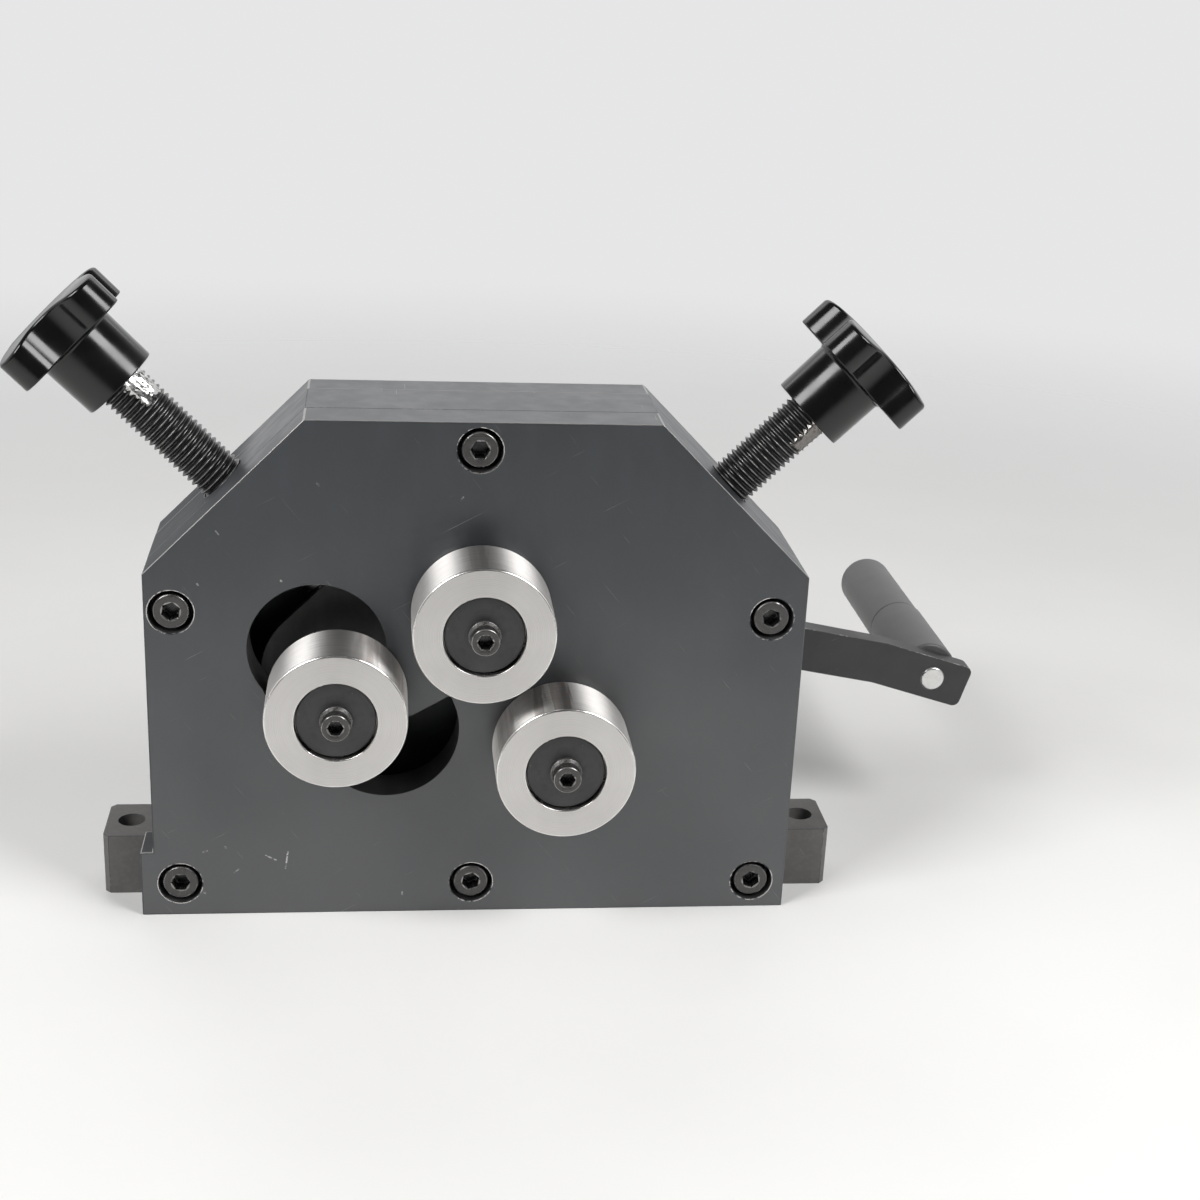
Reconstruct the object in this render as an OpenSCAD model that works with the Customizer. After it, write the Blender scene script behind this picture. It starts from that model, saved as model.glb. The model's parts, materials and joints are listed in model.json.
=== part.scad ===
// Bench-top angle roll bender: three rollers, two adjusting screws, one hand crank.
// Frame: +X right, +Y from the front face to the back, +Z up.
// Origin: midway between the two bench holes, on the surface that the bender stands on.

/* [Body] */
// Width of the front and rear plates
body_w = 236; // [225:1:260]
// Height of the plates
body_h = 190; // [185:1:210]
// Size of the 45 degree corner cut
corner_cut = 56; // [50:0.5:60]
// Thickness of the front plate
front_t = 17; // [14:0.5:20]
// Depth of the space between the plates
core_d = 26.5; // [26.5:0.5:32]
// Thickness of the rear plate
rear_t = 14.5; // [12:0.5:18]
// Thickness of the side walls
side_wall = 21; // [18:0.5:23]
// Thickness of the top block
top_wall = 20; // [18:0.5:23]
// Thickness of the sloping walls that hold the adjusting screws
slope_wall = 24; // [20:0.5:26]
// Width of the small step at the lower left of the front plate
step_w = 4.7; // [3:0.1:6]
// Height of that step
step_h = 25.8; // [20:0.1:30]

/* [Bench bar] */
// Height of the bench bar
bar_h = 24; // [22:0.5:28]
// How far each bench lug stands out from the body
lug_reach = 20.5; // [19:0.5:30]
// Diameter of the bench holes
bench_hole_d = 10; // [8:0.5:11]
// From the end of a lug to its hole
bench_hole_inset = 9.2; // [8:0.1:11]
// Corner cut on the lugs
lug_cut = 2; // [0.5:0.5:3]

/* [Plate screws] */
// Thread diameter of the plate screws
plate_screw_d = 8; // [6:1:8]
// Head diameter of the plate screws
plate_head_d = 13; // [12:0.5:14]
// Counterbore diameter
counterbore_d = 16; // [15:0.5:18]
// How deep the screw heads sit below the plate
head_sink = 0.7; // [0.2:0.1:2]
// From a plate's side to the axis of its side screws
screw_inset = 11; // [10:0.5:11.5]
// From the top of the plates down to the top screw
top_screw_drop = 10; // [9.5:0.5:11]
// Height of the lower row of screws
low_screw_z = 12; // [11:0.5:13]
// From a corner of the plates down to the side screw
side_screw_drop = 15; // [12:0.5:30]
// How far the screws' pattern sits left of the middle
screw_shift = 1.6; // [0:0.1:1.8]
// How much higher the left screws sit than the right ones
screw_lean = 1.9; // [0:0.1:2]
// Thread length of a plate screw in its block
screw_grip = 11; // [8:0.5:12]

/* [Rollers] */
// Roller diameter
roller_d = 50; // [40:0.5:54]
// Roller length
roller_l = 25.5; // [22:0.5:32]
// Gap between the rollers and the front plate
roller_gap = 0.6; // [0.4:0.1:2]
// From the top of the plates down to the top roller's axis
head_room = 69; // [66:0.5:74]
// Direction of the left roller from the top roller
left_angle = 212; // [208:1:216]
// Direction of the right roller from the top roller
right_angle = 300; // [294:1:304]
// Bore of a roller
roller_bore_d = 18; // [16:0.5:19]
// Diameter of the dark retaining washer
washer_d = 28; // [24:0.5:32]
// Thickness of that washer
washer_t = 4; // [3:0.5:6]
// How deep the washer sits in the roller's end
washer_sink = 2; // [1:0.5:3]
// Thread diameter of the roller screws
roller_screw_d = 6; // [5:1:6]
// Thread length of a roller screw in its shaft
roller_screw_l = 12; // [10:1:14]
// Width of the keys
key_w = 5; // [4:0.5:6]
// How far a key stands out of its shaft
key_rise = 2; // [1.5:0.1:2.5]

/* [Gears] */
// Gear module
gear_module = 2; // [1.95:0.05:2.1]
// Teeth on each gear
gear_teeth = 30; // [30:1:31]
// Face width of the gears
gear_w = 8; // [7:0.5:9]
// Backlash at the pitch circle
backlash = 0.2; // [0.15:0.05:0.3]
// Diameter of the drive shaft in the front plate
drive_d = 24; // [22:0.5:26]
// Diameter of the right shaft in the front plate
right_d = 20; // [20:0.5:22]
// Diameter of the left shaft in the rocker
left_d = 20; // [19:0.5:22]
// Wall of the bronze bushes
bush_wall = 3; // [2:0.5:4]
// Step from a journal to the smaller seat behind it
shaft_step = 2; // [1.5:0.5:2]

/* [Rocker] */
// Radius of the rocker's end round the left roller
rocker_end_r = 28.4; // [27:0.2:30]
// Radius of the rocker's hub round the drive shaft
rocker_hub_r = 28; // [26:0.5:29]
// Radius of the bearing boss behind the left roller
rocker_boss_r = 22; // [19:0.5:24]
// Lever arm from the drive shaft to each adjusting screw
lever = 37.6; // [35:0.2:38]
// Distance of the left nose's centre along its screw
left_nose_a = 20; // [17:0.5:22]
// Distance of the right nose's centre along its screw
right_nose_a = 16; // [14:0.5:18]
// Radius of the hub's end of the neck to the right nose
right_neck_r = 19; // [17:0.5:21]
// Slope of the pocket that the left foot dips into
pocket_tilt = 20; // [19:0.5:21]
// Radius of the slot's upper end
slot_r = 24.5; // [23:0.5:26]
// Radius of the slot's lower end
slot_low_r = 26.4; // [25:0.2:28]
// Distance from the drive shaft to the centre of the slot's lower end
slot_low_reach = 57; // [56:0.5:59]
// Slope of the straight edge above the slot's lower end
slot_edge = 30; // [26:1:34]
// Direction of the slot's upper end from the top roller
slot_high = 194.5; // [193:0.5:197]
// Direction of the slot's lower end from the top roller
slot_low = 234; // [232:0.5:235]
// Distance from the drive shaft to the slot's inner edge
slot_inner_r = 47.5; // [46:0.5:48]
// Distance from the drive shaft to the slot's outer edge
slot_outer_r = 83; // [80:0.5:83]

/* [Adjusting screws] */
// Thread diameter
adjuster_d = 18; // [16:0.5:18.5]
// Thread pitch
adjuster_pitch = 2.25; // [1.5:0.25:2.5]
// Length from the foot to the knob
adjuster_l = 99; // [98:0.5:104]
// From the lever arm out to the left foot
left_touch = 41.9; // [40:0.1:44]
// From the lever arm out to the right foot
right_touch = 31.7; // [30:0.1:34]
// Diameter of the foot
foot_d = 18; // [16:0.5:18]
// Height of the foot
foot_h = 8; // [7:0.5:9]

/* [Knobs] */
// Diameter over the lobes
knob_d = 55.5; // [50:0.5:60]
// Diameter of one lobe
lobe_d = 16; // [14:0.5:20]
// Number of lobes
knob_lobes = 4; // [4:1:5]
// Radius of the hollow between two lobes
hollow_r = 12; // [10:0.5:16]
// Height of the rim
rim_h = 12; // [10:0.5:16]
// Height of the dome above the rim
dome_h = 4; // [3:0.5:6]
// Hub diameter
hub_d = 29.5; // [26:0.5:32]
// Hub length
hub_l = 21; // [16:0.5:26]
// Diameter of the screw's stud in the knob
stud_d = 12; // [10:0.5:13]
// Length of that stud
stud_l = 16; // [12:0.5:20]

/* [Crank] */
// Radius of the crank
crank_r = 200; // [190:1:230]
// How far the crank points below the horizontal
crank_dip = 16.7; // [0:0.1:40]
// Width of the crank bar
crank_w = 18; // [17:0.5:22]
// Thickness of the crank bar
crank_t = 8; // [6:0.5:10]
// Gap between the rear plate and the crank
crank_gap = 2.5; // [1.5:0.5:6]
// How far the bar steps away from the body
crank_step = 13.5; // [10:0.5:18]
// From the handle pin to the inner bend
bend_in = 68; // [60:1:80]
// From the handle pin to the outer bend
bend_out = 24; // [20:1:30]
// Bar beyond the handle pin
crank_tip = 15; // [13:0.5:18]
// Corner radius of the bar's tip
tip_r = 3; // [2:0.5:5]
// Diameter of the crank's hub
crank_hub_d = 34; // [32:1:40]
// Size of the square on the drive shaft
square_w = 13; // [12:0.5:13]
// Thread diameter of the crank bolt
crank_bolt_d = 8; // [6:1:8]

/* [Grip] */
// Diameter of the grip
grip_d = 24; // [22:0.5:28]
// Length of the near sleeve
sleeve_l = 50; // [44:1:60]
// Length of the far cap
cap_l = 63; // [56:1:70]
// Radius of the cap's rounded end
cap_round = 8; // [4:0.5:10]
// Step from the sleeve to the cap
grip_step = 0.4; // [0.2:0.1:1]
// Diameter of the handle pin
pin_d = 10; // [9:0.5:12]

/* [Fits] */
// Radial clearance of a running fit
run_fit = 0.04; // [0.02:0.01:0.08]
// Radial clearance of a fixed seat
seat_fit = 0.02; // [0.01:0.01:0.04]
// Clearance between faces that slide past each other
face_gap = 0.35; // [0.25:0.05:0.4]

/* [Hidden] */
$fn = 64;
// How far a cut runs past the face that it opens
past = 1;
// How far two parts of the slot overlap, in degrees
slot_lap = 4;
// Room beyond a moving part's reach
swing_room = 1;
// Clearance of a screw in the hole that it passes through
hole_fit = 0.5;
steel = [0.74, 0.74, 0.74];
blackened = [0.25, 0.26, 0.28];
dark = [0.12, 0.12, 0.13];
bronze = [0.62, 0.48, 0.26];

// Depths of the layers, front to back
y_front = -(front_t + core_d / 2);
y_core = -core_d / 2;
y_rear = core_d / 2;
y_back = y_rear + rear_t;
y_roller_back = y_front - roller_gap;
y_roller_front = y_roller_back - roller_l;
y_washer_seat = y_roller_front + washer_sink + washer_t;
y_gear_back = y_rear - face_gap;
y_gear_front = y_gear_back - gear_w;
y_rocker_front = y_core + face_gap;
y_rocker_back = y_gear_front - face_gap;
y_crank = y_back + crank_gap;
y_crank_back = y_crank + crank_t;
y_arm = y_crank + crank_step;
y_arm_back = y_arm + crank_t;
y_sleeve = y_arm_back + face_gap;
y_cap = y_sleeve + sleeve_l;
y_cap_end = y_cap + cap_l;

// Axes, as [x, z]
top_z = body_h - head_room;
centre_distance = gear_module * gear_teeth;
top_axis = [0, top_z];
function polar(r, a) = top_axis + r * [cos(a), sin(a)];
left_axis = polar(centre_distance, left_angle);
right_axis = polar(centre_distance, right_angle);

// Plate outline
half_w = body_w / 2;
cut_x = half_w - corner_cut;
cut_z = body_h - corner_cut;
slope_reach = (half_w + cut_z - top_z) / sqrt(2);
inner_sum = half_w + cut_z - slope_wall * sqrt(2);
rocker_reach = rocker_end_r - centre_distance * cos(slot_high);
inner_x = max(half_w - side_wall, rocker_reach + swing_room);
inner_z = body_h - top_wall;

// Plate screws, as [x, z]
head_h = plate_screw_d;
plate_hex = 6;
socket_share = 0.6;
side_screw_x = half_w - screw_inset;
side_screw_z = cut_z - side_screw_drop;
EVEN_SCREWS = [
    [0, body_h - top_screw_drop], [-side_screw_x, side_screw_z], [side_screw_x, side_screw_z],
    [-side_screw_x, low_screw_z], [0, low_screw_z], [side_screw_x, low_screw_z]
];
PLATE_SCREWS = [
    for (p = EVEN_SCREWS) p - [screw_shift, screw_lean * p.x / (2 * side_screw_x)]
];

// Bench holes
lug_x = half_w + lug_reach;
bench_hole_x = lug_x - bench_hole_inset;

// Shafts
rear_drive_d = drive_d - 2 * shaft_step;
gear_seat_d = drive_d - shaft_step;
right_seat_d = right_d - shaft_step;
rear_right_d = right_d - 2 * shaft_step;
left_collar_step = 1.5;
left_collar_d = left_d + 2 * left_collar_step;
left_bush_l = 10;
clip_t = 1.2;
clip_mouth = 4;
clip_groove = 1;
clip_rise = 3;
y_left_end = y_rear - face_gap;
y_clip = y_left_end - 2 * clip_t;
y_boss_back = y_clip - face_gap / 2;
key_l = 12;
key_sink = 2.5;
key_end = 2;
y_roller_key = y_roller_back - key_l - key_end;
roller_seat_d = roller_bore_d - 2 * seat_fit;
gear_key_end = 1;
gear_key_l = gear_w - 2 * gear_key_end;
y_gear_key = y_gear_front + gear_key_end;
roller_head_d = 10;
roller_head_h = 6;
roller_flange_t = 1;
roller_flange_d = 13;
roller_hex = 5;
washer_fit = 0.1;

// Adjusting screws
foot_gap = 0.2;
pocket_bite = 0.6;
left_nose_r = left_touch - foot_gap - left_nose_a;
right_nose_r = right_touch - foot_gap - right_nose_a;
left_nose = polar(lever, 225) + left_nose_a * [-sqrt(0.5), sqrt(0.5)];
right_nose = polar(lever, 315) + right_nose_a * [sqrt(0.5), sqrt(0.5)];
thread_share = 0.6;
thread_depth = thread_share * adjuster_pitch;
thread_fit = 0.1;
spigot_d = adjuster_d / 2;
spigot_l = foot_h * socket_share;

// Knob heads
left_knob_turn = 53;
right_knob_turn = 51;
lobe_c = (knob_d - lobe_d) / 2;
half_step = 180 / knob_lobes;
hollow_c = lobe_c * cos(half_step)
    + sqrt(pow(lobe_d / 2 + hollow_r, 2) - pow(lobe_c * sin(half_step), 2));
lobe_half = atan2(hollow_c * sin(half_step), hollow_c * cos(half_step) - lobe_c);
lobe_steps = 12;
hollow_steps = 8;
dome_r = (pow(knob_d / 2, 2) + pow(dome_h, 2)) / (2 * dome_h);

// Crank
square_l = crank_t - face_gap;
crank_washer_t = 2.5;
crank_washer_inset = 4;
crank_bolt_grip = 8;
head_ratio = 1.6;
pin_head_rise = 3;
pin_head_d = pin_d + 2 * pin_head_rise;
pin_head_t = 3;
pin_flush = 0.4;
y_pin_end = y_cap + pin_head_t + face_gap;

// Gear tooth, in degrees
pressure_angle = 20;
pitch_r = centre_distance / 2;
base_r = pitch_r * cos(pressure_angle);
tip_radius = pitch_r + gear_module;
root_radius = pitch_r - 1.25 * gear_module;
function involute(a) = tan(a) * 180 / PI - a;
tooth_half = 90 / gear_teeth - backlash / (4 * pitch_r) * 180 / PI + involute(pressure_angle);
function flank(r) = tooth_half - involute(acos(base_r / r));
flank_steps = 5;
FLANK = [for (i = [0 : flank_steps]) base_r + (tip_radius - base_r) * i / flank_steps];
tooth_pitch = 360 / gear_teeth;

// Building blocks

// Extrudes a flat [x, z] outline from depth y0 to depth y1
module slab(y0, y1) {
    translate([0, y1, 0]) rotate([90, 0, 0]) linear_extrude(y1 - y0) children();
}

// Moves a part from the origin to an [x, z] axis
module on_axis(p) {
    translate([p.x, 0, p.y]) children();
}

// A round bar along Y
module rod(y0, y1, d) {
    translate([0, y0, 0]) rotate([-90, 0, 0]) cylinder(d = d, h = y1 - y0);
}

// A tube along Y
module tube(y0, y1, d_out, d_in) {
    difference() {
        rod(y0, y1, d_out);
        rod(y0 - past, y1 + past, d_in);
    }
}

// The strip that touches two circles on both sides
module strip(p, rp, q, rq) {
    d = norm(q - p);
    lean = acos((rp - rq) / d);
    heading = atan2(q.y - p.y, q.x - p.x);
    a = heading + lean;
    b = heading - lean;
    polygon([
        p + rp * [cos(a), sin(a)], q + rq * [cos(a), sin(a)],
        q + rq * [cos(b), sin(b)], p + rp * [cos(b), sin(b)]
    ]);
}

// A disc at an [x, z] point
module disc(p, r) {
    translate(p) circle(r);
}

// Outline shared by both plates and the blocks between them
module plate_outline() {
    polygon([
        [-half_w, 0], [half_w, 0], [half_w, cut_z], [cut_x, body_h],
        [-cut_x, body_h], [-half_w, cut_z]
    ]);
}

// The space between the plates that the blocks leave free
module cavity_outline() {
    polygon([
        [-inner_x, bar_h], [inner_x, bar_h], [inner_x, inner_sum - inner_x],
        [inner_sum - inner_z, inner_z], [-(inner_sum - inner_z), inner_z],
        [-inner_x, inner_sum - inner_x]
    ]);
}

// A hexagon socket, cut down from z = 0
module hex_socket(across, depth) {
    translate([0, 0, -depth]) cylinder(d = across / cos(30), h = depth + past, $fn = 6);
}

// A cap screw: the head's underside is at z = 0 and the shank points down
module cap_screw(d, shank_l, head_d, head_height, across) {
    difference() {
        union() {
            cylinder(d = head_d, h = head_height);
            translate([0, 0, -shank_l]) cylinder(d = d, h = shank_l);
        }
        translate([0, 0, head_height]) hex_socket(across, head_height * socket_share);
    }
}

// Places a part along an adjusting screw: z runs outwards from the foot of the lever arm
module along_adjuster(side) {
    on_axis([side * lever * sqrt(0.5), top_z - lever * sqrt(0.5)])
        rotate([0, side * 45, 0]) children();
}

// Plates and blocks

// Counterbored holes for the screws of one plate, whose head side faces -Y
module plate_screw_holes(y0, thickness) {
    for (p = PLATE_SCREWS) on_axis(p) {
        rod(y0 - past, y0 + thickness + past, plate_screw_d + 2 * hole_fit);
        rod(y0 - past, y0 + head_sink + head_h, counterbore_d);
    }
}

// A ring sector round the top roller's axis, between two directions less than 90 degrees apart
module ring_sector(r_in, r_out, from, to) {
    reach = 2 * r_out;
    intersection() {
        difference() {
            disc(top_axis, r_out);
            disc(top_axis, r_in);
        }
        polygon([
            top_axis, polar(reach, from), polar(reach, (from + to) / 2), polar(reach, to)
        ]);
    }
}

// The hole that the left roller's shaft swings in: an arc with a round end above and a half
// disc below, whose straight edge runs up to the arc's inner side
module slot_outline() {
    low = polar(slot_low_reach, slot_low);
    edge = [cos(slot_edge), sin(slot_edge)];
    back = (top_axis - low) * edge;
    edge_l = back - sqrt(back * back - pow(slot_low_reach, 2) + pow(slot_inner_r, 2));
    tip = low + edge_l * edge - top_axis;
    tip_angle = atan2(tip.y, tip.x) + 360;
    disc(polar(centre_distance, slot_high), slot_r);
    intersection() {
        disc(low, slot_low_r);
        translate(low) rotate(slot_edge) translate([-2 * slot_low_r, -2 * slot_low_r])
            square([4 * slot_low_r, 2 * slot_low_r]);
    }
    ring_sector(slot_inner_r, slot_outer_r, slot_high, slot_low);
    ring_sector(slot_inner_r, slot_low_reach + past, slot_low - slot_lap, tip_angle);
}

module front_plate() {
    color(blackened) difference() {
        slab(y_front, y_core) {
            plate_outline();
            translate([-half_w - step_w, 0]) square([step_w + past, step_h]);
        }
        plate_screw_holes(y_front, front_t);
        slab(y_front - past, y_core + past) slot_outline();
        on_axis(top_axis) rod(y_front - past, y_core + past, drive_d + 2 * bush_wall + 2 * seat_fit);
        on_axis(right_axis) rod(y_front - past, y_core + past, right_d + 2 * bush_wall + 2 * seat_fit);
    }
}

module rear_plate() {
    color(blackened) difference() {
        slab(y_rear, y_back) plate_outline();
        mirror([0, 1, 0]) plate_screw_holes(-y_back, rear_t);
        on_axis(top_axis) rod(y_rear - past, y_back + past, rear_drive_d + 2 * bush_wall + 2 * seat_fit);
        on_axis(right_axis) rod(y_rear - past, y_back + past, rear_right_d + 2 * bush_wall + 2 * seat_fit);
    }
}

// Tapped holes through a block
module tapped_holes() {
    for (p = PLATE_SCREWS) on_axis(p)
        rod(y_core - past, y_rear + past, plate_screw_d + 2 * seat_fit);
}

module base_bar() {
    color(blackened) difference() {
        linear_extrude(bar_h) polygon([
            [-lug_x + lug_cut, y_core], [lug_x - lug_cut, y_core], [lug_x, y_core + lug_cut],
            [lug_x, y_rear - lug_cut], [lug_x - lug_cut, y_rear], [-lug_x + lug_cut, y_rear],
            [-lug_x, y_rear - lug_cut], [-lug_x, y_core + lug_cut]
        ]);
        tapped_holes();
        on_axis(right_axis) rod(y_gear_front - swing_room, y_rear + past, 2 * (tip_radius + swing_room));
        for (side = [-1, 1]) translate([side * bench_hole_x, 0, -past])
            cylinder(d = bench_hole_d, h = bar_h + 2 * past);
    }
}

module top_block() {
    color(blackened) difference() {
        slab(y_core, y_rear) translate([-cut_x, inner_z]) square([2 * cut_x, top_wall]);
        tapped_holes();
    }
}

// One side wall with its sloping part and the tapped hole for an adjusting screw
module side_block(side) {
    color(blackened) difference() {
        slab(y_core, y_rear) intersection() {
            difference() {
                plate_outline();
                cavity_outline();
            }
            mirror([side < 0 ? 1 : 0, 0]) translate([cut_x, bar_h]) square([corner_cut, body_h]);
        }
        tapped_holes();
        along_adjuster(side) cylinder(d = adjuster_d + 2 * thread_fit, h = 2 * slope_reach);
    }
}

module left_block() {
    side_block(-1);
}

module right_block() {
    side_block(1);
}

// The six screws of one plate, whose heads face -Y
module plate_screws(y0, thickness) {
    shank_l = thickness - head_sink - head_h + screw_grip;
    for (p = PLATE_SCREWS) on_axis(p) translate([0, y0 + head_sink + head_h, 0]) rotate([90, 0, 0])
        cap_screw(plate_screw_d, shank_l, plate_head_d, head_h, plate_hex);
}

module front_screws() {
    color(dark) plate_screws(y_front, front_t);
}

module rear_screws() {
    color(dark) mirror([0, 1, 0]) plate_screws(-y_back, rear_t);
}

// Bushes

// A plain bush round a shaft of diameter d
module bush(p, y0, y1, d) {
    color(bronze) on_axis(p) tube(y0, y1, d + 2 * bush_wall, d + 2 * run_fit);
}

module drive_front_bush() {
    bush(top_axis, y_front, y_core, drive_d);
}

module drive_rear_bush() {
    bush(top_axis, y_rear, y_back, rear_drive_d);
}

module right_front_bush() {
    bush(right_axis, y_front, y_core, right_d);
}

module right_rear_bush() {
    bush(right_axis, y_rear, y_back, rear_right_d);
}

// Rollers and what holds them

// The keyway for a key of length l in a shaft of diameter d
module key_cut(y0, l, d) {
    translate([-key_w / 2, y0, d / 2 - key_sink]) cube([key_w, l, key_sink + key_rise]);
}

// A key of length l in a shaft of diameter d
module key(p, y0, l, d) {
    color(steel) on_axis(p)
        translate([seat_fit - key_w / 2, y0 + seat_fit, d / 2 - key_sink + seat_fit])
            cube([key_w - 2 * seat_fit, l - 2 * seat_fit, key_sink + key_rise - 2 * seat_fit]);
}

// The roller's end of a shaft: seat, keyway and tapped end
module roller_seat() {
    difference() {
        rod(y_washer_seat + face_gap, y_roller_back + past, roller_seat_d);
        key_cut(y_roller_key, key_l, roller_seat_d);
        rod(y_washer_seat - past, y_washer_seat + roller_screw_l + past,
            roller_screw_d + 2 * seat_fit);
    }
}

module roller(p) {
    color(steel) on_axis(p) difference() {
        rod(y_roller_front, y_roller_back, roller_d);
        rod(y_roller_front - past, y_roller_back + past, roller_bore_d);
        rod(y_roller_front - past, y_washer_seat, washer_d + 2 * washer_fit);
        translate([-key_w / 2, y_washer_seat, 0])
            cube([key_w, roller_l, roller_bore_d / 2 + key_rise]);
    }
}

module roller_key(p) {
    key(p, y_roller_key, key_l, roller_seat_d);
}

module roller_washer(p) {
    color(dark) on_axis(p)
        tube(y_washer_seat - washer_t, y_washer_seat, washer_d, roller_screw_d + 2 * hole_fit);
}

module roller_screw(p) {
    color(dark) on_axis(p) translate([0, y_washer_seat - washer_t, 0]) rotate([90, 0, 0]) {
        cylinder(d = roller_flange_d, h = roller_flange_t);
        cap_screw(roller_screw_d, washer_t + roller_screw_l, roller_head_d,
            roller_head_h + roller_flange_t, roller_hex);
    }
}

// Drive shaft, right shaft and their gears

module drive_shaft() {
    color(steel) on_axis(top_axis) difference() {
        union() {
            roller_seat();
            rod(y_roller_back, y_gear_front, drive_d);
            rod(y_gear_front, y_rear, gear_seat_d);
            rod(y_rear, y_crank, rear_drive_d);
            rotate([0, crank_dip, 0]) translate([-square_w / 2, y_crank - past, -square_w / 2])
                cube([square_w, square_l + past, square_w]);
        }
        key_cut(y_gear_key, gear_key_l, gear_seat_d);
        rod(y_crank - crank_bolt_grip - past, y_crank_back + past, crank_bolt_d + 2 * seat_fit);
    }
}

module right_shaft() {
    color(steel) on_axis(right_axis) difference() {
        union() {
            roller_seat();
            rod(y_roller_back, y_gear_front, right_d);
            rod(y_gear_front, y_rear, right_seat_d);
            rod(y_rear, y_back - face_gap, rear_right_d);
        }
        key_cut(y_gear_key, gear_key_l, right_seat_d);
    }
}

// A spur gear with one tooth centred on the direction first
module gear(p, bore_d, first) {
    color(steel) on_axis(p) difference() {
        slab(y_gear_front, y_gear_back) polygon([
            for (i = [0 : gear_teeth - 1]) let (a = first + i * tooth_pitch) each concat(
                [root_radius * [cos(a - flank(base_r)), sin(a - flank(base_r))]],
                [for (r = FLANK) r * [cos(a - flank(r)), sin(a - flank(r))]],
                [for (j = [flank_steps : -1 : 0]) let (r = FLANK[j])
                    r * [cos(a + flank(r)), sin(a + flank(r))]],
                [root_radius * [cos(a + flank(base_r)), sin(a + flank(base_r))]]
            )
        ]);
        rod(y_gear_front - past, y_gear_back + past, bore_d + 2 * seat_fit);
        translate([-key_w / 2, y_gear_front - past, 0])
            cube([key_w, gear_w + 2 * past, bore_d / 2 + key_rise]);
    }
}

module drive_gear() {
    gear(top_axis, gear_seat_d, right_angle);
}

module driven_gear() {
    gear(right_axis, right_seat_d, right_angle - 180 + tooth_pitch / 2);
}

// Crank and grip

// The bar's side view: x is the distance from the drive shaft, y the depth
module crank_profile() {
    far = crank_r + crank_tip;
    near_bend = crank_r - bend_in;
    far_bend = crank_r - bend_out;
    shift = crank_t * tan(atan2(crank_step, far_bend - near_bend) / 2);
    polygon([
        [0, y_crank], [near_bend, y_crank], [far_bend, y_arm], [far, y_arm],
        [far, y_arm_back], [far_bend - shift, y_arm_back], [near_bend - shift, y_crank_back],
        [0, y_crank_back]
    ]);
}

// The bar's front view, with its rounded tip
module crank_outline() {
    far = crank_r + crank_tip;
    translate([0, -crank_w / 2]) square([far - tip_r, crank_w]);
    translate([0, tip_r - crank_w / 2]) square([far, crank_w - 2 * tip_r]);
    for (side = [-1, 1]) translate([far - tip_r, side * (crank_w / 2 - tip_r)]) circle(tip_r);
}

module on_crank() {
    on_axis(top_axis) rotate([0, crank_dip, 0]) children();
}

module crank_arm() {
    color(dark) on_crank() difference() {
        union() {
            intersection() {
                translate([0, 0, -crank_w]) linear_extrude(2 * crank_w) crank_profile();
                slab(y_crank - past, y_arm_back + past) crank_outline();
            }
            rod(y_crank, y_crank_back, crank_hub_d);
        }
        square_clear = square_w + 2 * seat_fit;
        translate([-square_clear / 2, y_crank - past, -square_clear / 2])
            cube([square_clear, crank_t + 2 * past, square_clear]);
        translate([crank_r, 0, 0]) rod(y_arm - past, y_arm_back + past, pin_d + 2 * seat_fit);
    }
}

module crank_washer() {
    color(steel) on_axis(top_axis)
        tube(y_crank_back, y_crank_back + crank_washer_t, crank_hub_d - 2 * crank_washer_inset,
            crank_bolt_d + 2 * hole_fit);
}

module crank_bolt() {
    color(dark) on_axis(top_axis) translate([0, y_crank_back + crank_washer_t, 0]) rotate([-90, 0, 0])
        cap_screw(crank_bolt_d, crank_t + crank_washer_t + crank_bolt_grip, crank_bolt_d * head_ratio,
            crank_bolt_d, plate_hex);
}

module handle_pin() {
    color(steel) on_crank() translate([crank_r, 0, 0]) {
        rod(y_arm - pin_flush, y_pin_end, pin_d);
    }
}

module pin_washer() {
    color(steel) on_crank() translate([crank_r, 0, 0])
        tube(y_cap + face_gap, y_cap + face_gap + pin_head_t, pin_head_d, pin_d + 2 * seat_fit);
}

module grip_sleeve() {
    color(dark) on_crank() translate([crank_r, 0, 0])
        tube(y_sleeve, y_cap, grip_d, pin_d + 2 * run_fit);
}

module grip_cap() {
    cap_r = grip_d / 2 - grip_step;
    pocket = pin_head_t + 3 * face_gap;
    color(dark) on_crank() translate([crank_r, y_cap, 0]) rotate([-90, 0, 0]) difference() {
        rotate_extrude() {
            square([cap_r, cap_l - cap_round]);
            square([cap_r - cap_round, cap_l]);
            intersection() {
                translate([cap_r - cap_round, cap_l - cap_round]) circle(cap_round);
                square([cap_r, cap_l]);
            }
        }
        translate([0, 0, -past]) cylinder(d = pin_head_d + 2 * face_gap, h = pocket + past);
    }
}

// Rocker and the left roller's bearing

// The pocket behind the rocker's front skin that keeps it clear of the left foot
module foot_pocket() {
    side = 4 * rocker_end_r;
    translate(left_nose) rotate(135 + pocket_tilt)
        translate([left_nose_r - pocket_bite, -side / 2]) square(side);
}

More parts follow.
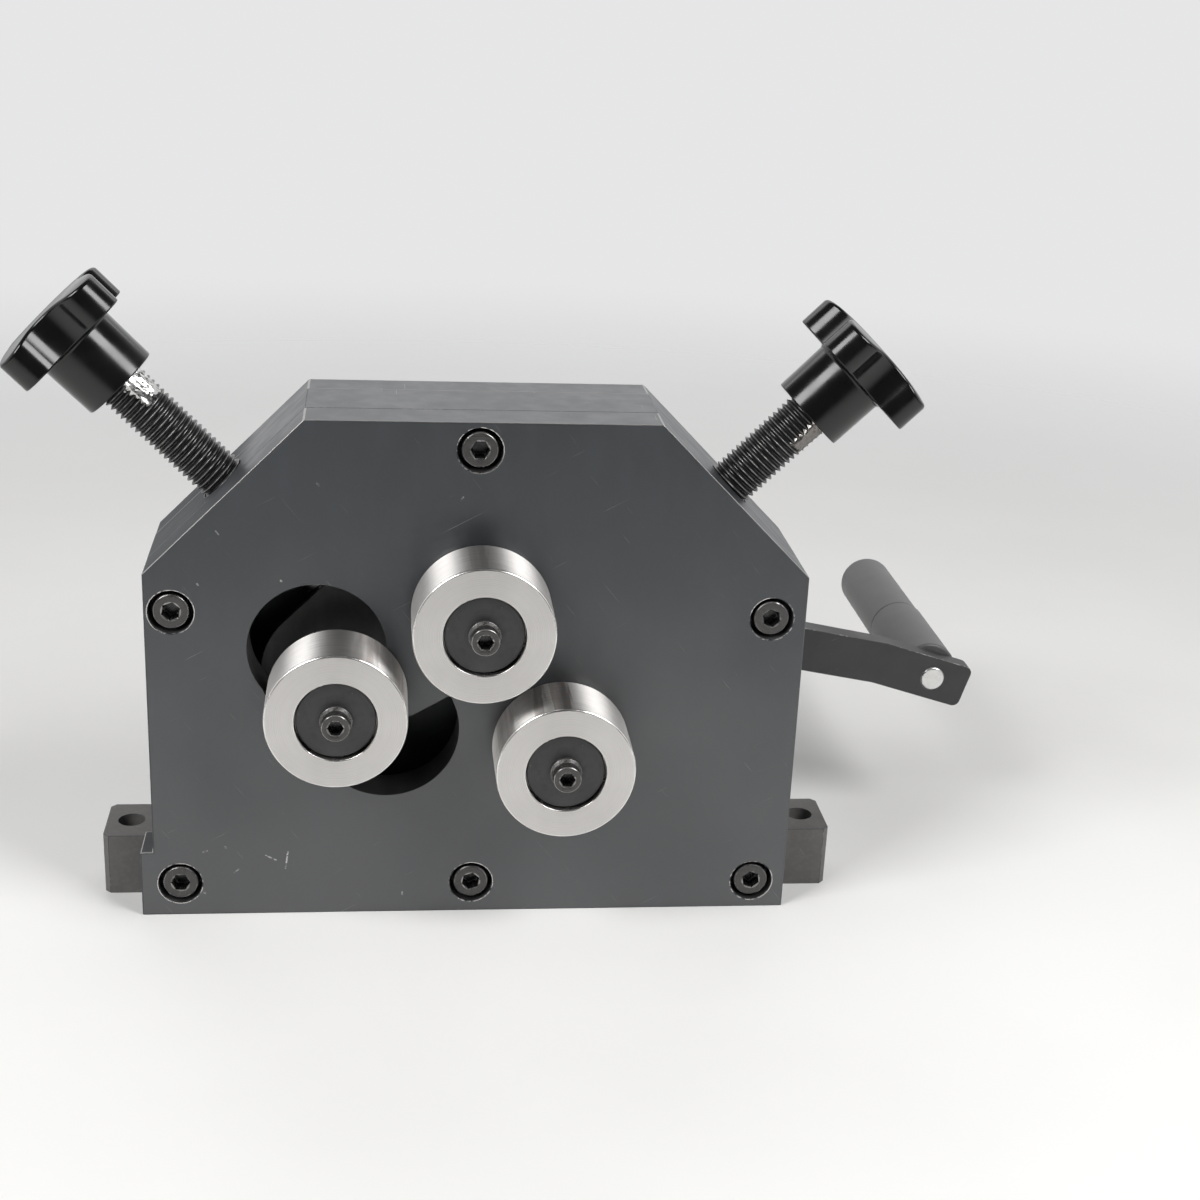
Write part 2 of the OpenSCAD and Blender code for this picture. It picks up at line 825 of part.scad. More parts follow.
module rocker_arm() {
    bush_d = left_d + 2 * bush_wall + 2 * seat_fit;
    color(blackened) difference() {
        union() {
            slab(y_rocker_front, y_rocker_back) {
                disc(top_axis, rocker_hub_r);
                disc(left_axis, rocker_end_r);
                strip(top_axis, rocker_hub_r, left_axis, rocker_end_r);
                disc(left_nose, left_nose_r);
                strip(left_nose, left_nose_r, left_axis, rocker_end_r);
                disc(right_nose, right_nose_r);
                strip(top_axis, right_neck_r, right_nose, right_nose_r);
            }
            on_axis(left_axis) rod(y_rocker_back - past, y_boss_back, 2 * rocker_boss_r);
        }
        on_axis(top_axis) rod(y_core, y_rear, drive_d + 2 * bush_wall + 2 * seat_fit);
        on_axis(left_axis) rod(y_core, y_rear, bush_d);
        slab(-foot_d / 2 - face_gap, y_rear) foot_pocket();
    }
}

module rocker_bush() {
    bush(top_axis, y_rocker_front, y_rocker_back, drive_d);
}

module left_front_bush() {
    bush(left_axis, y_rocker_front, y_rocker_front + left_bush_l, left_d);
}

module left_rear_bush() {
    bush(left_axis, y_boss_back - left_bush_l, y_boss_back, left_d);
}

module left_shaft() {
    color(steel) on_axis(left_axis) difference() {
        union() {
            roller_seat();
            rod(y_roller_back, y_core, left_collar_d);
            rod(y_core, y_left_end, left_d);
        }
        tube(y_clip, y_clip + clip_t, left_d + 2 * past, left_d - 2 * clip_groove);
    }
}

module left_circlip() {
    color(steel) on_axis(left_axis) difference() {
        tube(y_clip + seat_fit, y_clip + clip_t - seat_fit, left_d + 2 * clip_rise,
            left_d - 2 * clip_groove + 2 * seat_fit);
        translate([-clip_mouth / 2, y_clip - past, 0]) cube([clip_mouth, clip_t + 2 * past, left_d]);
    }
}

// Adjusting screws, feet and knobs

module foot(side, touch) {
    color(steel) along_adjuster(side) translate([0, 0, touch]) difference() {
        cylinder(d = foot_d, h = foot_h);
        translate([0, 0, foot_h - spigot_l]) cylinder(d = spigot_d + 2 * run_fit, h = foot_h);
    }
}

// The screw: spigot in the foot, ringed thread, stud in the knob
module adjuster(side, touch) {
    crest = adjuster_d / 2;
    root = crest - thread_depth;
    start = foot_h + face_gap;
    turns = floor((adjuster_l - start) / adjuster_pitch);
    thread_l = turns * adjuster_pitch;
    neck = adjuster_l - thread_l;
    flat = adjuster_pitch / 8;
    color(dark) along_adjuster(side) translate([0, 0, touch]) {
        rotate_extrude() polygon(concat(
            [[0, foot_h - spigot_l + face_gap], [spigot_d / 2, foot_h - spigot_l + face_gap],
                [spigot_d / 2, start], [root, start], [root, neck]],
            [for (i = [0 : turns - 1]) let (z = neck + i * adjuster_pitch) each [
                [root, z + flat], [crest, z + adjuster_pitch / 2 - flat],
                [crest, z + adjuster_pitch / 2 + flat], [root, z + adjuster_pitch - flat]
            ]],
            [[root, adjuster_l], [stud_d / 2, adjuster_l], [stud_d / 2, adjuster_l + stud_l],
                [0, adjuster_l + stud_l]]
        ));
    }
}

// Points of a circular arc round the centre c, from angle a0 to a1, without its two ends
function arc_points(c, r, a0, a1, steps) =
    [for (i = [1 : steps - 1]) let (a = a0 + (a1 - a0) * i / steps) c + r * [cos(a), sin(a)]];

// Round lobes joined by round hollows
module knob_outline() {
    polygon([for (i = [0 : knob_lobes - 1]) let (a = 2 * half_step * i) each concat(
        arc_points(lobe_c * [cos(a), sin(a)], lobe_d / 2, a - lobe_half, a + lobe_half, lobe_steps),
        arc_points(hollow_c * [cos(a + half_step), sin(a + half_step)], hollow_r,
            a + lobe_half + 180, a + 2 * half_step - lobe_half + 180, hollow_steps)
    )]);
}

// A star knob, turned about the screw by the angle turn
module knob(side, touch, turn) {
    color(dark) along_adjuster(side) translate([0, 0, touch + adjuster_l]) rotate([0, 0, turn])
        difference() {
            union() {
                cylinder(d = hub_d, h = hub_l + past);
                intersection() {
                    translate([0, 0, hub_l]) linear_extrude(rim_h + dome_h) knob_outline();
                    translate([0, 0, hub_l + rim_h + dome_h - dome_r]) sphere(dome_r);
                }
            }
            translate([0, 0, -past]) cylinder(d = stud_d + 2 * seat_fit, h = stud_l + past + face_gap);
        }
}

module left_foot() {
    foot(-1, left_touch);
}

module left_adjuster() {
    adjuster(-1, left_touch);
}

module left_knob() {
    knob(-1, left_touch, left_knob_turn);
}

module right_foot() {
    foot(1, right_touch);
}

module right_adjuster() {
    adjuster(1, right_touch);
}

module right_knob() {
    knob(1, right_touch, right_knob_turn);
}

// The three rollers with their keys, washers and screws

module top_roller() {
    roller(top_axis);
}

module top_roller_key() {
    roller_key(top_axis);
}

module top_roller_washer() {
    roller_washer(top_axis);
}

module top_roller_screw() {
    roller_screw(top_axis);
}

module right_roller() {
    roller(right_axis);
}

module right_roller_key() {
    roller_key(right_axis);
}

module right_roller_washer() {
    roller_washer(right_axis);
}

module right_roller_screw() {
    roller_screw(right_axis);
}

module left_roller() {
    roller(left_axis);
}

module left_roller_key() {
    roller_key(left_axis);
}

module left_roller_washer() {
    roller_washer(left_axis);
}

module left_roller_screw() {
    roller_screw(left_axis);
}

module drive_gear_key() {
    key(top_axis, y_gear_key, gear_key_l, gear_seat_d);
}

module driven_gear_key() {
    key(right_axis, y_gear_key, gear_key_l, right_seat_d);
}

front_plate();
rear_plate();
base_bar();
top_block();
left_block();
right_block();
front_screws();
rear_screws();
drive_front_bush();
drive_rear_bush();
right_front_bush();
right_rear_bush();
drive_shaft();
top_roller();
top_roller_key();
top_roller_washer();
top_roller_screw();
drive_gear();
drive_gear_key();
crank_arm();
crank_washer();
crank_bolt();
handle_pin();
pin_washer();
grip_sleeve();
grip_cap();
right_shaft();
right_roller();
right_roller_key();
right_roller_washer();
right_roller_screw();
driven_gear();
driven_gear_key();
rocker_arm();
rocker_bush();
left_front_bush();
left_rear_bush();
left_shaft();
left_roller();
left_roller_key();
left_roller_washer();
left_roller_screw();
left_circlip();
left_foot();
left_adjuster();
left_knob();
right_foot();
right_adjuster();
right_knob();
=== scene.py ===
"""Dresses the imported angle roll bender: bevelled blackened plates, turned rollers, cut threads,
moulded knobs and grip, on a plain pale floor in soft studio light."""

import json
import math

import bmesh
import bpy
from mathutils import Matrix, Vector, noise


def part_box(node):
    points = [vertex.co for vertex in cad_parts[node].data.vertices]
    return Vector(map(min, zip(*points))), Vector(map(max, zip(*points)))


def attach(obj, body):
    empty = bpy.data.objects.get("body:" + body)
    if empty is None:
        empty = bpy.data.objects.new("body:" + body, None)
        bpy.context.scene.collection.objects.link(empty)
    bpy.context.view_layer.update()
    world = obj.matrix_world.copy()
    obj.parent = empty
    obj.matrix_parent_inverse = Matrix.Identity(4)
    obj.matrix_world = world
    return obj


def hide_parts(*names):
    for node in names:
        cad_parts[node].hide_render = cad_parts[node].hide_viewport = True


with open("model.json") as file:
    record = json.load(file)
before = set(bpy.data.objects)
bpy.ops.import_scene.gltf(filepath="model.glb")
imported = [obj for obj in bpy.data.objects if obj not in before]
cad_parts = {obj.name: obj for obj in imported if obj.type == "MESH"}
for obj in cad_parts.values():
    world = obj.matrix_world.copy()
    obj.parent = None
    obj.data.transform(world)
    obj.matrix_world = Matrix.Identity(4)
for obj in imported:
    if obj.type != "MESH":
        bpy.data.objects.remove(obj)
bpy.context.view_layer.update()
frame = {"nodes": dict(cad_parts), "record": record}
NODES = frame["nodes"]
BODY = {n: body for body, names in frame["record"]["behaviour"]["bodies"].items() for n in names}
MM = 0.001
TURN = 2 * math.pi


# Finishes

STEEL = (0.63, 0.615, 0.6)
PLATE = (0.0108, 0.0128, 0.016)
RUST = (0.16, 0.075, 0.035)
# Colour of the painted floor reflection that lightens a plate towards its foot
FLOOR_SHEEN = (0.205, 0.197, 0.19)


class Finish:
    """One material: a Principled shader and the textures that drive it. Lengths are in mm."""

    def __init__(self, name, **sockets):
        self.material = bpy.data.materials.new(name)
        self.material.use_nodes = True
        self.tree = self.material.node_tree
        self.shader = self.tree.nodes["Principled BSDF"]
        self.where = self.node("TexCoord").outputs["Object"]
        for key, value in sockets.items():
            self.shader.inputs[key.replace("_", " ")].default_value = value

    def node(self, kind, links=None, **props):
        """Adds a node, sets its properties and links or fills its inputs."""
        made = self.tree.nodes.new("ShaderNode" + kind)
        for key, value in props.items():
            setattr(made, key, value)
        for key, value in (links or {}).items():
            if isinstance(value, bpy.types.NodeSocket):
                self.tree.links.new(value, made.inputs[key])
            else:
                made.inputs[key].default_value = value
        return made

    def drive(self, socket, value):
        self.tree.links.new(value, self.shader.inputs[socket])

    def stretched(self, scale, turn=(0, 0, 0)):
        """The object's coordinates, turned and then scaled along each axis."""
        turned = self.node("Mapping", {"Vector": self.where, "Rotation": turn})
        return self.node(
            "VectorMath", {0: turned.outputs[0], 1: scale}, operation="MULTIPLY"
        ).outputs[0]

    def noise(self, size, detail=4.0, vector=None, blur=0.5):
        """Noise whose features are about size across."""
        made = self.node(
            "TexNoise",
            {"Vector": vector or self.where, "Scale": 1 / (size * MM), "Detail": detail,
             "Roughness": blur},
        )
        return made.outputs["Fac"]

    def band(self, value, low, high, start=0.0, end=1.0):
        """A smooth step of value from low to high."""
        made = self.node(
            "MapRange",
            {"Value": value, 1: low, 2: high, 3: start, 4: end},
            interpolation_type="SMOOTHSTEP",
        )
        return made.outputs["Result"]

    def math(self, operation, a, b=0.0):
        return self.node("Math", {0: a, 1: b}, operation=operation).outputs[0]

    def mix(self, factor, a, b):
        """Blends two colours."""
        links = {0: factor}
        for key, colour in ((6, a), (7, b)):
            links[key] = (*colour, 1) if isinstance(colour, tuple) else colour
        return self.node("Mix", links, data_type="RGBA").outputs[2]

    def bump(self, height, depth, strength=1.0):
        made = self.node(
            "Bump", {"Height": height, "Distance": depth * MM, "Strength": strength}
        )
        self.drive("Normal", made.outputs["Normal"])

    def scratches(self, length, width, turn, low, high):
        """Sparse straight scratches."""
        line = self.stretched((1 / length, 1 / length, 1 / width), turn)
        return self.band(self.noise(1, 2.0, line), low, high)

    def nick(self, start, end, width):
        """One short scratch between two places (x, z) on a face that looks along Y."""
        first = Vector((start[0], 0, start[1])) * MM
        run = Vector((end[0], 0, end[1])) * MM - first
        flat = self.node("VectorMath", {0: self.where, 1: (1, 0, 1)}, operation="MULTIPLY")
        off = self.node("VectorMath", {0: flat.outputs[0], 1: first}, operation="SUBTRACT")
        share = self.node(
            "VectorMath", {0: off.outputs[0], 1: run / run.length_squared}, operation="DOT_PRODUCT"
        )
        held = self.node("Clamp", {0: share.outputs["Value"]})
        foot = self.node("VectorMath", {0: run, "Scale": held.outputs[0]}, operation="SCALE")
        gap = self.node("VectorMath", {0: off.outputs[0], 1: foot.outputs[0]}, operation="DISTANCE")
        return self.band(gap.outputs["Value"], width * MM, 0.35 * width * MM)

    def specks(self, spacing, size, share):
        """Small round specks in some of the cells of a random pattern."""
        made = self.node("TexVoronoi", {"Vector": self.where, "Scale": 1 / (spacing * MM)})
        dot = self.band(made.outputs["Distance"], size / spacing, 0.6 * size / spacing)
        chosen = self.node("SeparateColor", {0: made.outputs["Color"]}).outputs[0]
        return self.math("MULTIPLY", dot, self.math("LESS_THAN", chosen, share))

    def across(self, axis="Y"):
        """Distance from the object's own axis, in metres."""
        flat = (1, 0, 1) if axis == "Y" else (1, 1, 0)
        made = self.node("VectorMath", {0: self.where, 1: flat}, operation="MULTIPLY")
        return self.node("VectorMath", {0: made.outputs[0]}, operation="LENGTH").outputs["Value"]

    def along(self, axis="Y"):
        """Distance along the object's own axis, in metres."""
        return self.node("SeparateXYZ", {0: self.where}).outputs[axis]

    def rings(self, value, spacing):
        """Fine turning marks that follow a distance."""
        made = self.node(
            "TexNoise", {"W": value, "Scale": 1 / (spacing * MM), "Detail": 3.0},
            noise_dimensions="1D",
        )
        return made.outputs["Fac"]


def tint(colour, factor):
    return tuple(min(1.0, c * factor) for c in colour)


def blackened(name, tone, rough=0.4, marks=0.5, dust=0.08, nicks=(), floor_sheen=0.0, ior=1.85,
              dull=None):
    """Chemically blackened steel plate: mottled, smeared, faintly scratched and dusty. A painted
    reflection of the bright floor lightens it towards the foot. The gloss falls off between the two
    places dull along X."""
    f = Finish(name, IOR=ior, Specular_Tint=(0.955, 0.98, 1.0, 1.0))
    cloud = f.noise(60, 5.0)
    grain = f.noise(1.6, 4.0)
    smear = f.noise(1, 4.0, f.stretched((1 / 8, 1 / 8, 1 / 34)))
    colour = f.mix(f.band(cloud, 0.3, 0.7), tint(tone, 0.8), tint(tone, 1.15))
    colour = f.mix(f.band(smear, 0.42, 0.72, 0.0, 0.3), colour, tint(tone, 2.2))
    colour = f.mix(f.band(grain, 0.4, 0.75, 0.0, 0.16), colour, tint(tone, 2.2))
    # Painted reflection of the bright floor: the colour lightens towards the foot
    if floor_sheen:
        height = f.math("ADD", f.along("Z"), f.band(cloud, 0.2, 0.8, -30 * MM, 30 * MM))
        colour = f.mix(f.band(height, 170 * MM, 10 * MM, 0.0, floor_sheen), colour, FLOOR_SHEEN)
    lines = f.math(
        "MAXIMUM",
        f.scratches(26, 0.3, (0, 0.5, 0), 0.74, 0.8),
        f.scratches(20, 0.25, (0, -0.9, 0), 0.75, 0.81),
    )
    lines = f.math("MULTIPLY", lines, marks)
    broken = f.band(f.noise(0.9, 3.0), 0.38, 0.6, 0.1, 1.0)
    for start, end, width, strength in nicks:
        cut = f.math("MULTIPLY", f.nick(start, end, width), strength)
        lines = f.math("MAXIMUM", lines, f.math("MULTIPLY", cut, broken))
    colour = f.mix(lines, colour, tint(STEEL, 0.8))
    colour = f.mix(f.specks(8, 0.3, dust), colour, (0.3, 0.3, 0.3))
    f.drive("Base Color", colour)
    blur = f.band(f.math("ADD", cloud, smear), 0.7, 1.3, rough - 0.06, rough + 0.07)
    if dull is not None:
        blur = f.math("ADD", blur, f.band(f.along("X"), dull[0] * MM, dull[1] * MM, 0.0, 0.4))
    f.drive("Roughness", blur)
    f.bump(grain, 0.02, 0.25)
    return f.material


def worn_edge(name, tone, share, brightness=0.6, rough=0.34):
    """The rubbed edge of a blackened plate: bare steel with the blacking left in patches."""
    f = Finish(name)
    broad = f.math("MULTIPLY", f.noise(14, 3.0), 0.6)
    patch = f.math("ADD", broad, f.math("MULTIPLY", f.noise(1.6, 4.0), 0.4))
    bare = f.band(patch, 0.62 - 0.3 * share, 0.72 - 0.3 * share)
    f.drive("Base Color", f.mix(bare, tint(tone, 1.2), tint(STEEL, 0.9 * brightness)))
    f.drive("Metallic", bare)
    f.drive("Roughness", f.band(f.noise(2, 3.0), 0.3, 0.7, rough - 0.06, rough + 0.1))
    f.bump(f.noise(0.8, 3.0), 0.02, 0.3)
    return f.material


def painted_shade_bore(name, tone):
    """A duller, less glossy black for the inside of a bore or slot: painted shade of the recess."""
    f = Finish(name, IOR=1.45)
    cloud = f.noise(5, 4.0)
    f.drive("Base Color", f.mix(f.band(cloud, 0.3, 0.7), tone, tint(tone, 2.2)))
    f.drive("Roughness", f.band(cloud, 0.3, 0.7, 0.5, 0.65))
    f.bump(f.noise(0.9, 3.0), 0.02, 0.3)
    return f.material


def turned_steel(name, stains, tone=STEEL, rough=0.5, spread=0.94):
    """Bright turned steel: tool marks spread its highlights across them. Each stain is the
    direction of its middle in degrees, its half width and its strength."""
    f = Finish(name, Metallic=1.0, Anisotropic=spread, Anisotropic_Rotation=0.25)
    f.drive("Tangent", f.node("Tangent", direction_type="RADIAL", axis="Y").outputs[0])
    radius = f.across()
    marks = f.math("ADD", f.rings(radius, 0.22), f.rings(f.along(), 0.3))
    cloud = f.noise(9, 4.0)
    on_rim = f.band(radius, 24.2 * MM, 24.8 * MM)
    ragged = f.noise(1, 4.0, f.stretched((1 / 3.0, 1 / 45, 1 / 3.0)))
    place = f.node("SeparateXYZ", {0: f.where}).outputs
    angle = f.math("DEGREES", f.math("ARCTAN2", place["Z"], place["X"]))
    angle = f.math("ADD", angle, f.band(ragged, 0.2, 0.8, -6.0, 6.0))
    patch = 0.0
    for middle, half, strength in stains:
        off = f.math("ABSOLUTE", f.math("SUBTRACT", angle, middle))
        patch = f.math("MAXIMUM", patch, f.band(off, half, 0.45 * half, 0.0, strength))
    thinned = f.band(ragged, 0.3, 0.6, 0.55, 1.0)
    patch = f.math("MULTIPLY", patch, f.math("MULTIPLY", on_rim, thinned))
    streaks = f.noise(1, 4.0, f.stretched((1 / 11, 1 / 0.45, 1 / 11)))
    spots = f.band(f.noise(1.4, 5.0, None, 0.65), 0.7, 0.78, 0.0, 0.4)
    colour = f.mix(f.band(marks, 0.75, 1.25), tint(tone, 0.86), tint(tone, 1.08))
    colour = f.mix(f.band(cloud, 0.35, 0.7, 0.0, 0.16), colour, tint(tone, 0.8))
    streaked = f.math("MULTIPLY", on_rim, f.band(streaks, 0.45, 0.7, 0.0, 0.32))
    colour = f.mix(streaked, colour, tint(tone, 0.5))
    colour = f.mix(spots, colour, (0.3, 0.27, 0.24))
    stain = f.mix(f.band(f.noise(2.5, 4.0), 0.45, 0.65), (0.1, 0.1, 0.1), RUST)
    f.drive("Base Color", f.mix(patch, colour, stain))
    blur = f.band(marks, 0.6, 1.4, rough - 0.04, rough + 0.05)
    f.drive("Roughness", f.math("ADD", blur, f.math("MULTIPLY", patch, 0.15)))
    f.bump(marks, 0.006, 0.4)
    return f.material


def black_oxide(name, tone, rough, axis="Y", crest=None):
    """Black oxide on a small turned part, thin on its high spots and rubbed off its crests."""
    f = Finish(name, IOR=1.7)
    rings = f.math("ADD", f.rings(f.across(axis), 0.3), f.rings(f.along(axis), 0.4))
    cloud = f.noise(4, 4.0)
    colour = f.mix(f.band(cloud, 0.3, 0.7), tint(tone, 0.75), tint(tone, 1.3))
    colour = f.mix(f.math("MULTIPLY", f.band(rings, 1.05, 1.4), 0.25), colour, tint(STEEL, 0.35))
    colour = f.mix(f.specks(2.6, 0.14, 0.2), colour, (0.3, 0.29, 0.28))
    bare = f.band(cloud, 0.45, 0.7, 0.25, 0.5)
    if crest is not None:
        high = f.band(f.across(axis), (crest - 0.35) * MM, (crest - 0.05) * MM)
        rubbed = f.math("MULTIPLY", high, f.band(f.noise(3, 4.0), 0.35, 0.65, 0.1, 1.0))
        colour = f.mix(rubbed, colour, tint(STEEL, 0.47))
        bare = f.math("MAXIMUM", bare, rubbed)
    f.drive("Base Color", colour)
    f.drive("Metallic", bare)
    f.drive("Roughness", f.band(f.math("ADD", cloud, rings), 1.1, 1.9, rough - 0.08, rough + 0.1))
    f.bump(rings, 0.006, 0.5)
    return f.material


def moulded(name, tone, rough, peel, dust):
    """Moulded plastic: a faint orange peel, handling haze and dust."""
    f = Finish(name, IOR=1.5)
    haze = f.noise(11, 5.0)
    colour = f.mix(f.band(haze, 0.35, 0.7), tone, tint(tone, 1.3))
    colour = f.mix(f.specks(4.5, 0.16, dust), colour, (0.33, 0.32, 0.31))
    f.drive("Base Color", colour)
    f.drive("Roughness", f.band(haze, 0.3, 0.75, rough, rough + 0.1))
    f.bump(f.noise(peel, 3.0), 0.012, 0.35)
    return f.material


def painted(name, tone, rough):
    """Black paint on a flat bar, with a brush of dust and small chips."""
    f = Finish(name, IOR=1.5)
    cloud = f.noise(18, 5.0)
    colour = f.mix(f.band(cloud, 0.3, 0.7), tone, tint(tone, 1.6))
    colour = f.mix(f.specks(7, 0.3, 0.1), colour, tint(STEEL, 0.6))
    colour = f.mix(f.scratches(14, 0.25, (0, 0.29, 0), 0.74, 0.8), colour, tint(STEEL, 0.35))
    f.drive("Base Color", colour)
    f.drive("Roughness", f.band(cloud, 0.3, 0.7, rough, rough + 0.14))
    f.bump(f.noise(1.4, 4.0), 0.02, 0.3)
    return f.material


def machined(name, tone, rough=0.34):
    """Plain machined metal for shafts, gears, keys and bushes."""
    f = Finish(name, Metallic=1.0)
    lines = f.noise(1, 3.0, f.stretched((1 / 6, 1 / 0.35, 1 / 6)))
    cloud = f.noise(8, 4.0)
    colour = f.mix(f.band(lines, 0.3, 0.7), tint(tone, 0.86), tint(tone, 1.1))
    colour = f.mix(f.band(cloud, 0.5, 0.75, 0.0, 0.3), colour, tint(tone, 0.55))
    f.drive("Base Color", colour)
    f.drive("Roughness", f.band(cloud, 0.3, 0.7, rough - 0.06, rough + 0.1))
    f.bump(lines, 0.01, 0.4)
    return f.material


def tack(name, tone, rust):
    """The lumpy bare metal of a small tack weld."""
    f = Finish(name)
    lump = f.noise(1.3, 5.0)
    stain = f.band(f.noise(2.6, 4.0), 0.62 - 0.4 * rust, 0.8 - 0.4 * rust)
    f.drive("Base Color", f.mix(stain, tone, RUST))
    f.drive("Metallic", f.band(stain, 0.0, 1.0, 1.0, 0.35))
    f.drive("Roughness", f.band(lump, 0.3, 0.7, 0.16 + 0.3 * rust, 0.4 + 0.3 * rust))
    f.bump(lump, 0.12, 0.7)
    return f.material


# Nicks on the plates: two ends (x, z), width, strength
NICKS = (
    ((-69.3, 25.5), (-70.2, 18.7), 0.4, 1.17), ((-77.3, 24.2), (-73.6, 22.2), 0.4, 0.78),
    ((-99.9, 25.8), (-98.6, 26.3), 0.5, 0.78), ((-92.0, 27.9), (-91.7, 27.4), 0.5, 0.52),
    ((-88.9, 17.3), (-87.1, 18.7), 0.35, 0.455), ((-100.0, 8.9), (-99.6, 8.7), 0.5, 0.65),
    ((-27.2, 8.1), (-27.1, 7.1), 0.5, 0.78), ((-57.5, 167.7), (-56.8, 166.8), 0.5, 0.65),
    ((-70.4, 132.0), (-70.1, 131.7), 0.5, 0.78), ((-99.1, 130.6), (-98.8, 130.2), 0.45, 0.52),
    ((-92.3, 150.1), (-91.3, 148.8), 0.35, 0.39), ((-8.0, 162.1), (-7.2, 163.2), 0.4, 0.455),
)
ROLLER_STAINS = {
    "top": ((96, 7, 0.25),),
    "left": ((66, 12, 0.5), (30, 8, 0.25)),
    "right": ((95, 8, 0.7), (112, 6, 0.6), (150, 14, 0.5)),
}

# Thread of the adjusting screws: radius of its crests and roots, and its pitch
CREST, ROOT, PITCH = 9.0, 7.65, 2.25

FINISH = {
    # The front plate lightens towards its foot: a painted reflection of the floor
    "plate": blackened("plate_black", PLATE, marks=0.38, nicks=NICKS, floor_sheen=0.19),
    # Bare steel on the plates' edges, kept to edges facing up: wear and painted highlight
    "plate_edge": worn_edge("plate_edge", tint(PLATE, 2), 1.3),
    "rim": worn_edge("bore_rim", tint(PLATE, 2), 0.6, 1.05, 0.24),
    # Painted shade: a duller black on the walls of the bores and the slot
    "bore": painted_shade_bore("painted_shade_bore", (0.02, 0.02, 0.02)),
    "block": blackened("block_black", tint(PLATE, 0.9), 0.36, ior=1.95, dull=(-80, -92)),
    "block_edge": worn_edge("block_edge", tint(PLATE, 2), 0.3, 0.4),
    "lug": blackened("lug_black", (0.098, 0.093, 0.088), 0.6, 0.4, 0.16, ior=1.6),
    "rocker": blackened("rocker_black", (0.05, 0.05, 0.05), 0.5, 0.2, ior=1.5),
    "rocker_edge": worn_edge("rocker_edge", (0.02, 0.02, 0.02), 0.0, 0.2),
    "screw": black_oxide("screw_oxide", (0.04, 0.038, 0.037), 0.34),
    "screw_edge": worn_edge("screw_edge", (0.05, 0.05, 0.05), 0.7, 0.55, 0.28),
    # Painted shade: a darker black for the inside of the hex sockets
    "socket": black_oxide("shaded_socket_oxide", (0.012, 0.012, 0.012), 0.24),
    "washer": black_oxide("washer_oxide", (0.032, 0.032, 0.033), 0.46),
    "thread": black_oxide("thread_oxide", (0.018, 0.018, 0.019), 0.32, "Z", CREST),
    "roller_face": turned_steel("roller_face_steel", (), tint(STEEL, 1.1), 0.46, 0.45),
    "top_roller": turned_steel("top_roller_steel", ROLLER_STAINS["top"]),
    "left_roller": turned_steel("left_roller_steel", ROLLER_STAINS["left"]),
    "right_roller": turned_steel("right_roller_steel", ROLLER_STAINS["right"]),
    "roller_edge": machined("roller_edge_steel", tint(STEEL, 1.25), 0.22),
    "knob": moulded("knob_gloss", (0.0025, 0.0025, 0.0028), 0.15, 2.2, 0.03),
    "grip": moulded("grip_satin", (0.088, 0.088, 0.09), 0.38, 0.8, 0.03),
    "crank": painted("crank_paint", (0.024, 0.024, 0.025), 0.42),
    "crank_edge": worn_edge("crank_edge", (0.05, 0.05, 0.05), 0.3, 0.5),
    "pin": machined("pin_steel", (0.7, 0.7, 0.69), 0.3),
    "shaft": machined("shaft_steel", (0.48, 0.48, 0.47)),
    "bronze": machined("bush_bronze", (0.5, 0.36, 0.16), 0.4),
    "left_tack": tack("left_tack", (0.58, 0.58, 0.57), 0.0),
    "right_tack": tack("right_tack", (0.2, 0.19, 0.18), 0.15),
}


# Shapes

SHARP = math.radians(30)    # corners that get eased
CREASE = math.radians(48)   # corners that stay crisp
FLAT = math.radians(0.4)    # cuts across flat faces


def piece(name, mesh, body, finishes, nodes=(), place=None):
    """Puts a mesh in the scene as a piece of the part."""
    for finish in finishes:
        mesh.materials.append(FINISH[finish])
    obj = bpy.data.objects.new(name, mesh)
    bpy.context.scene.collection.objects.link(obj)
    if place is not None:
        obj.matrix_world = place
    mesh.shade_smooth()
    obj.modifiers.new("even_normals", "WEIGHTED_NORMAL").keep_sharp = True
    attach(obj, body)
    if nodes:
        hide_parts(*nodes)


def to_mesh(name, bm):
    """Turns a bmesh into a mesh, with its remaining sharp corners kept crisp."""
    bmesh.ops.recalc_face_normals(bm, faces=bm.faces)
    for edge in bm.edges:
        if len(edge.link_faces) == 2 and edge.calc_face_angle() > CREASE:
            edge.smooth = False
    mesh = bpy.data.meshes.new(name)
    bm.to_mesh(mesh)
    bm.free()
    return mesh


def sharp_edges(bm, allowed=(0,)):
    """Edges between two faces of the allowed finishes that meet at a sharp angle."""
    return [
        e for e in bm.edges
        if len(e.link_faces) == 2 and e.calc_face_angle() > SHARP
        and all(f.material_index in allowed for f in e.link_faces)
    ]


def bevel(bm, edges, width, segments, material, clamp=True):
    """Eases edges. The new faces take the finish of index material."""
    bmesh.ops.bevel(
        bm, geom=edges, offset=width * MM, segments=segments, profile=0.6,
        affect="EDGES", clamp_overlap=clamp, material=material,
    )


def cad_copy(node):
    """A CAD node's mesh without the cuts across its flat faces."""
    bm = bmesh.new()
    bm.from_mesh(NODES[node].data)
    bmesh.ops.remove_doubles(bm, verts=bm.verts, dist=1e-6)
    bmesh.ops.dissolve_limit(bm, angle_limit=FLAT, verts=bm.verts, edges=bm.edges)
    return bm


def eased(node, finish, edge, width, segments=2):
    """A CAD node with its sharp edges eased. The eased faces take their own finish."""
    bm = cad_copy(node)
    bevel(bm, sharp_edges(bm), width, segments, 1)
    mesh = to_mesh(node + "_eased", bm)
    piece(node + "_eased", mesh, BODY[node], (finish, edge), (node,))


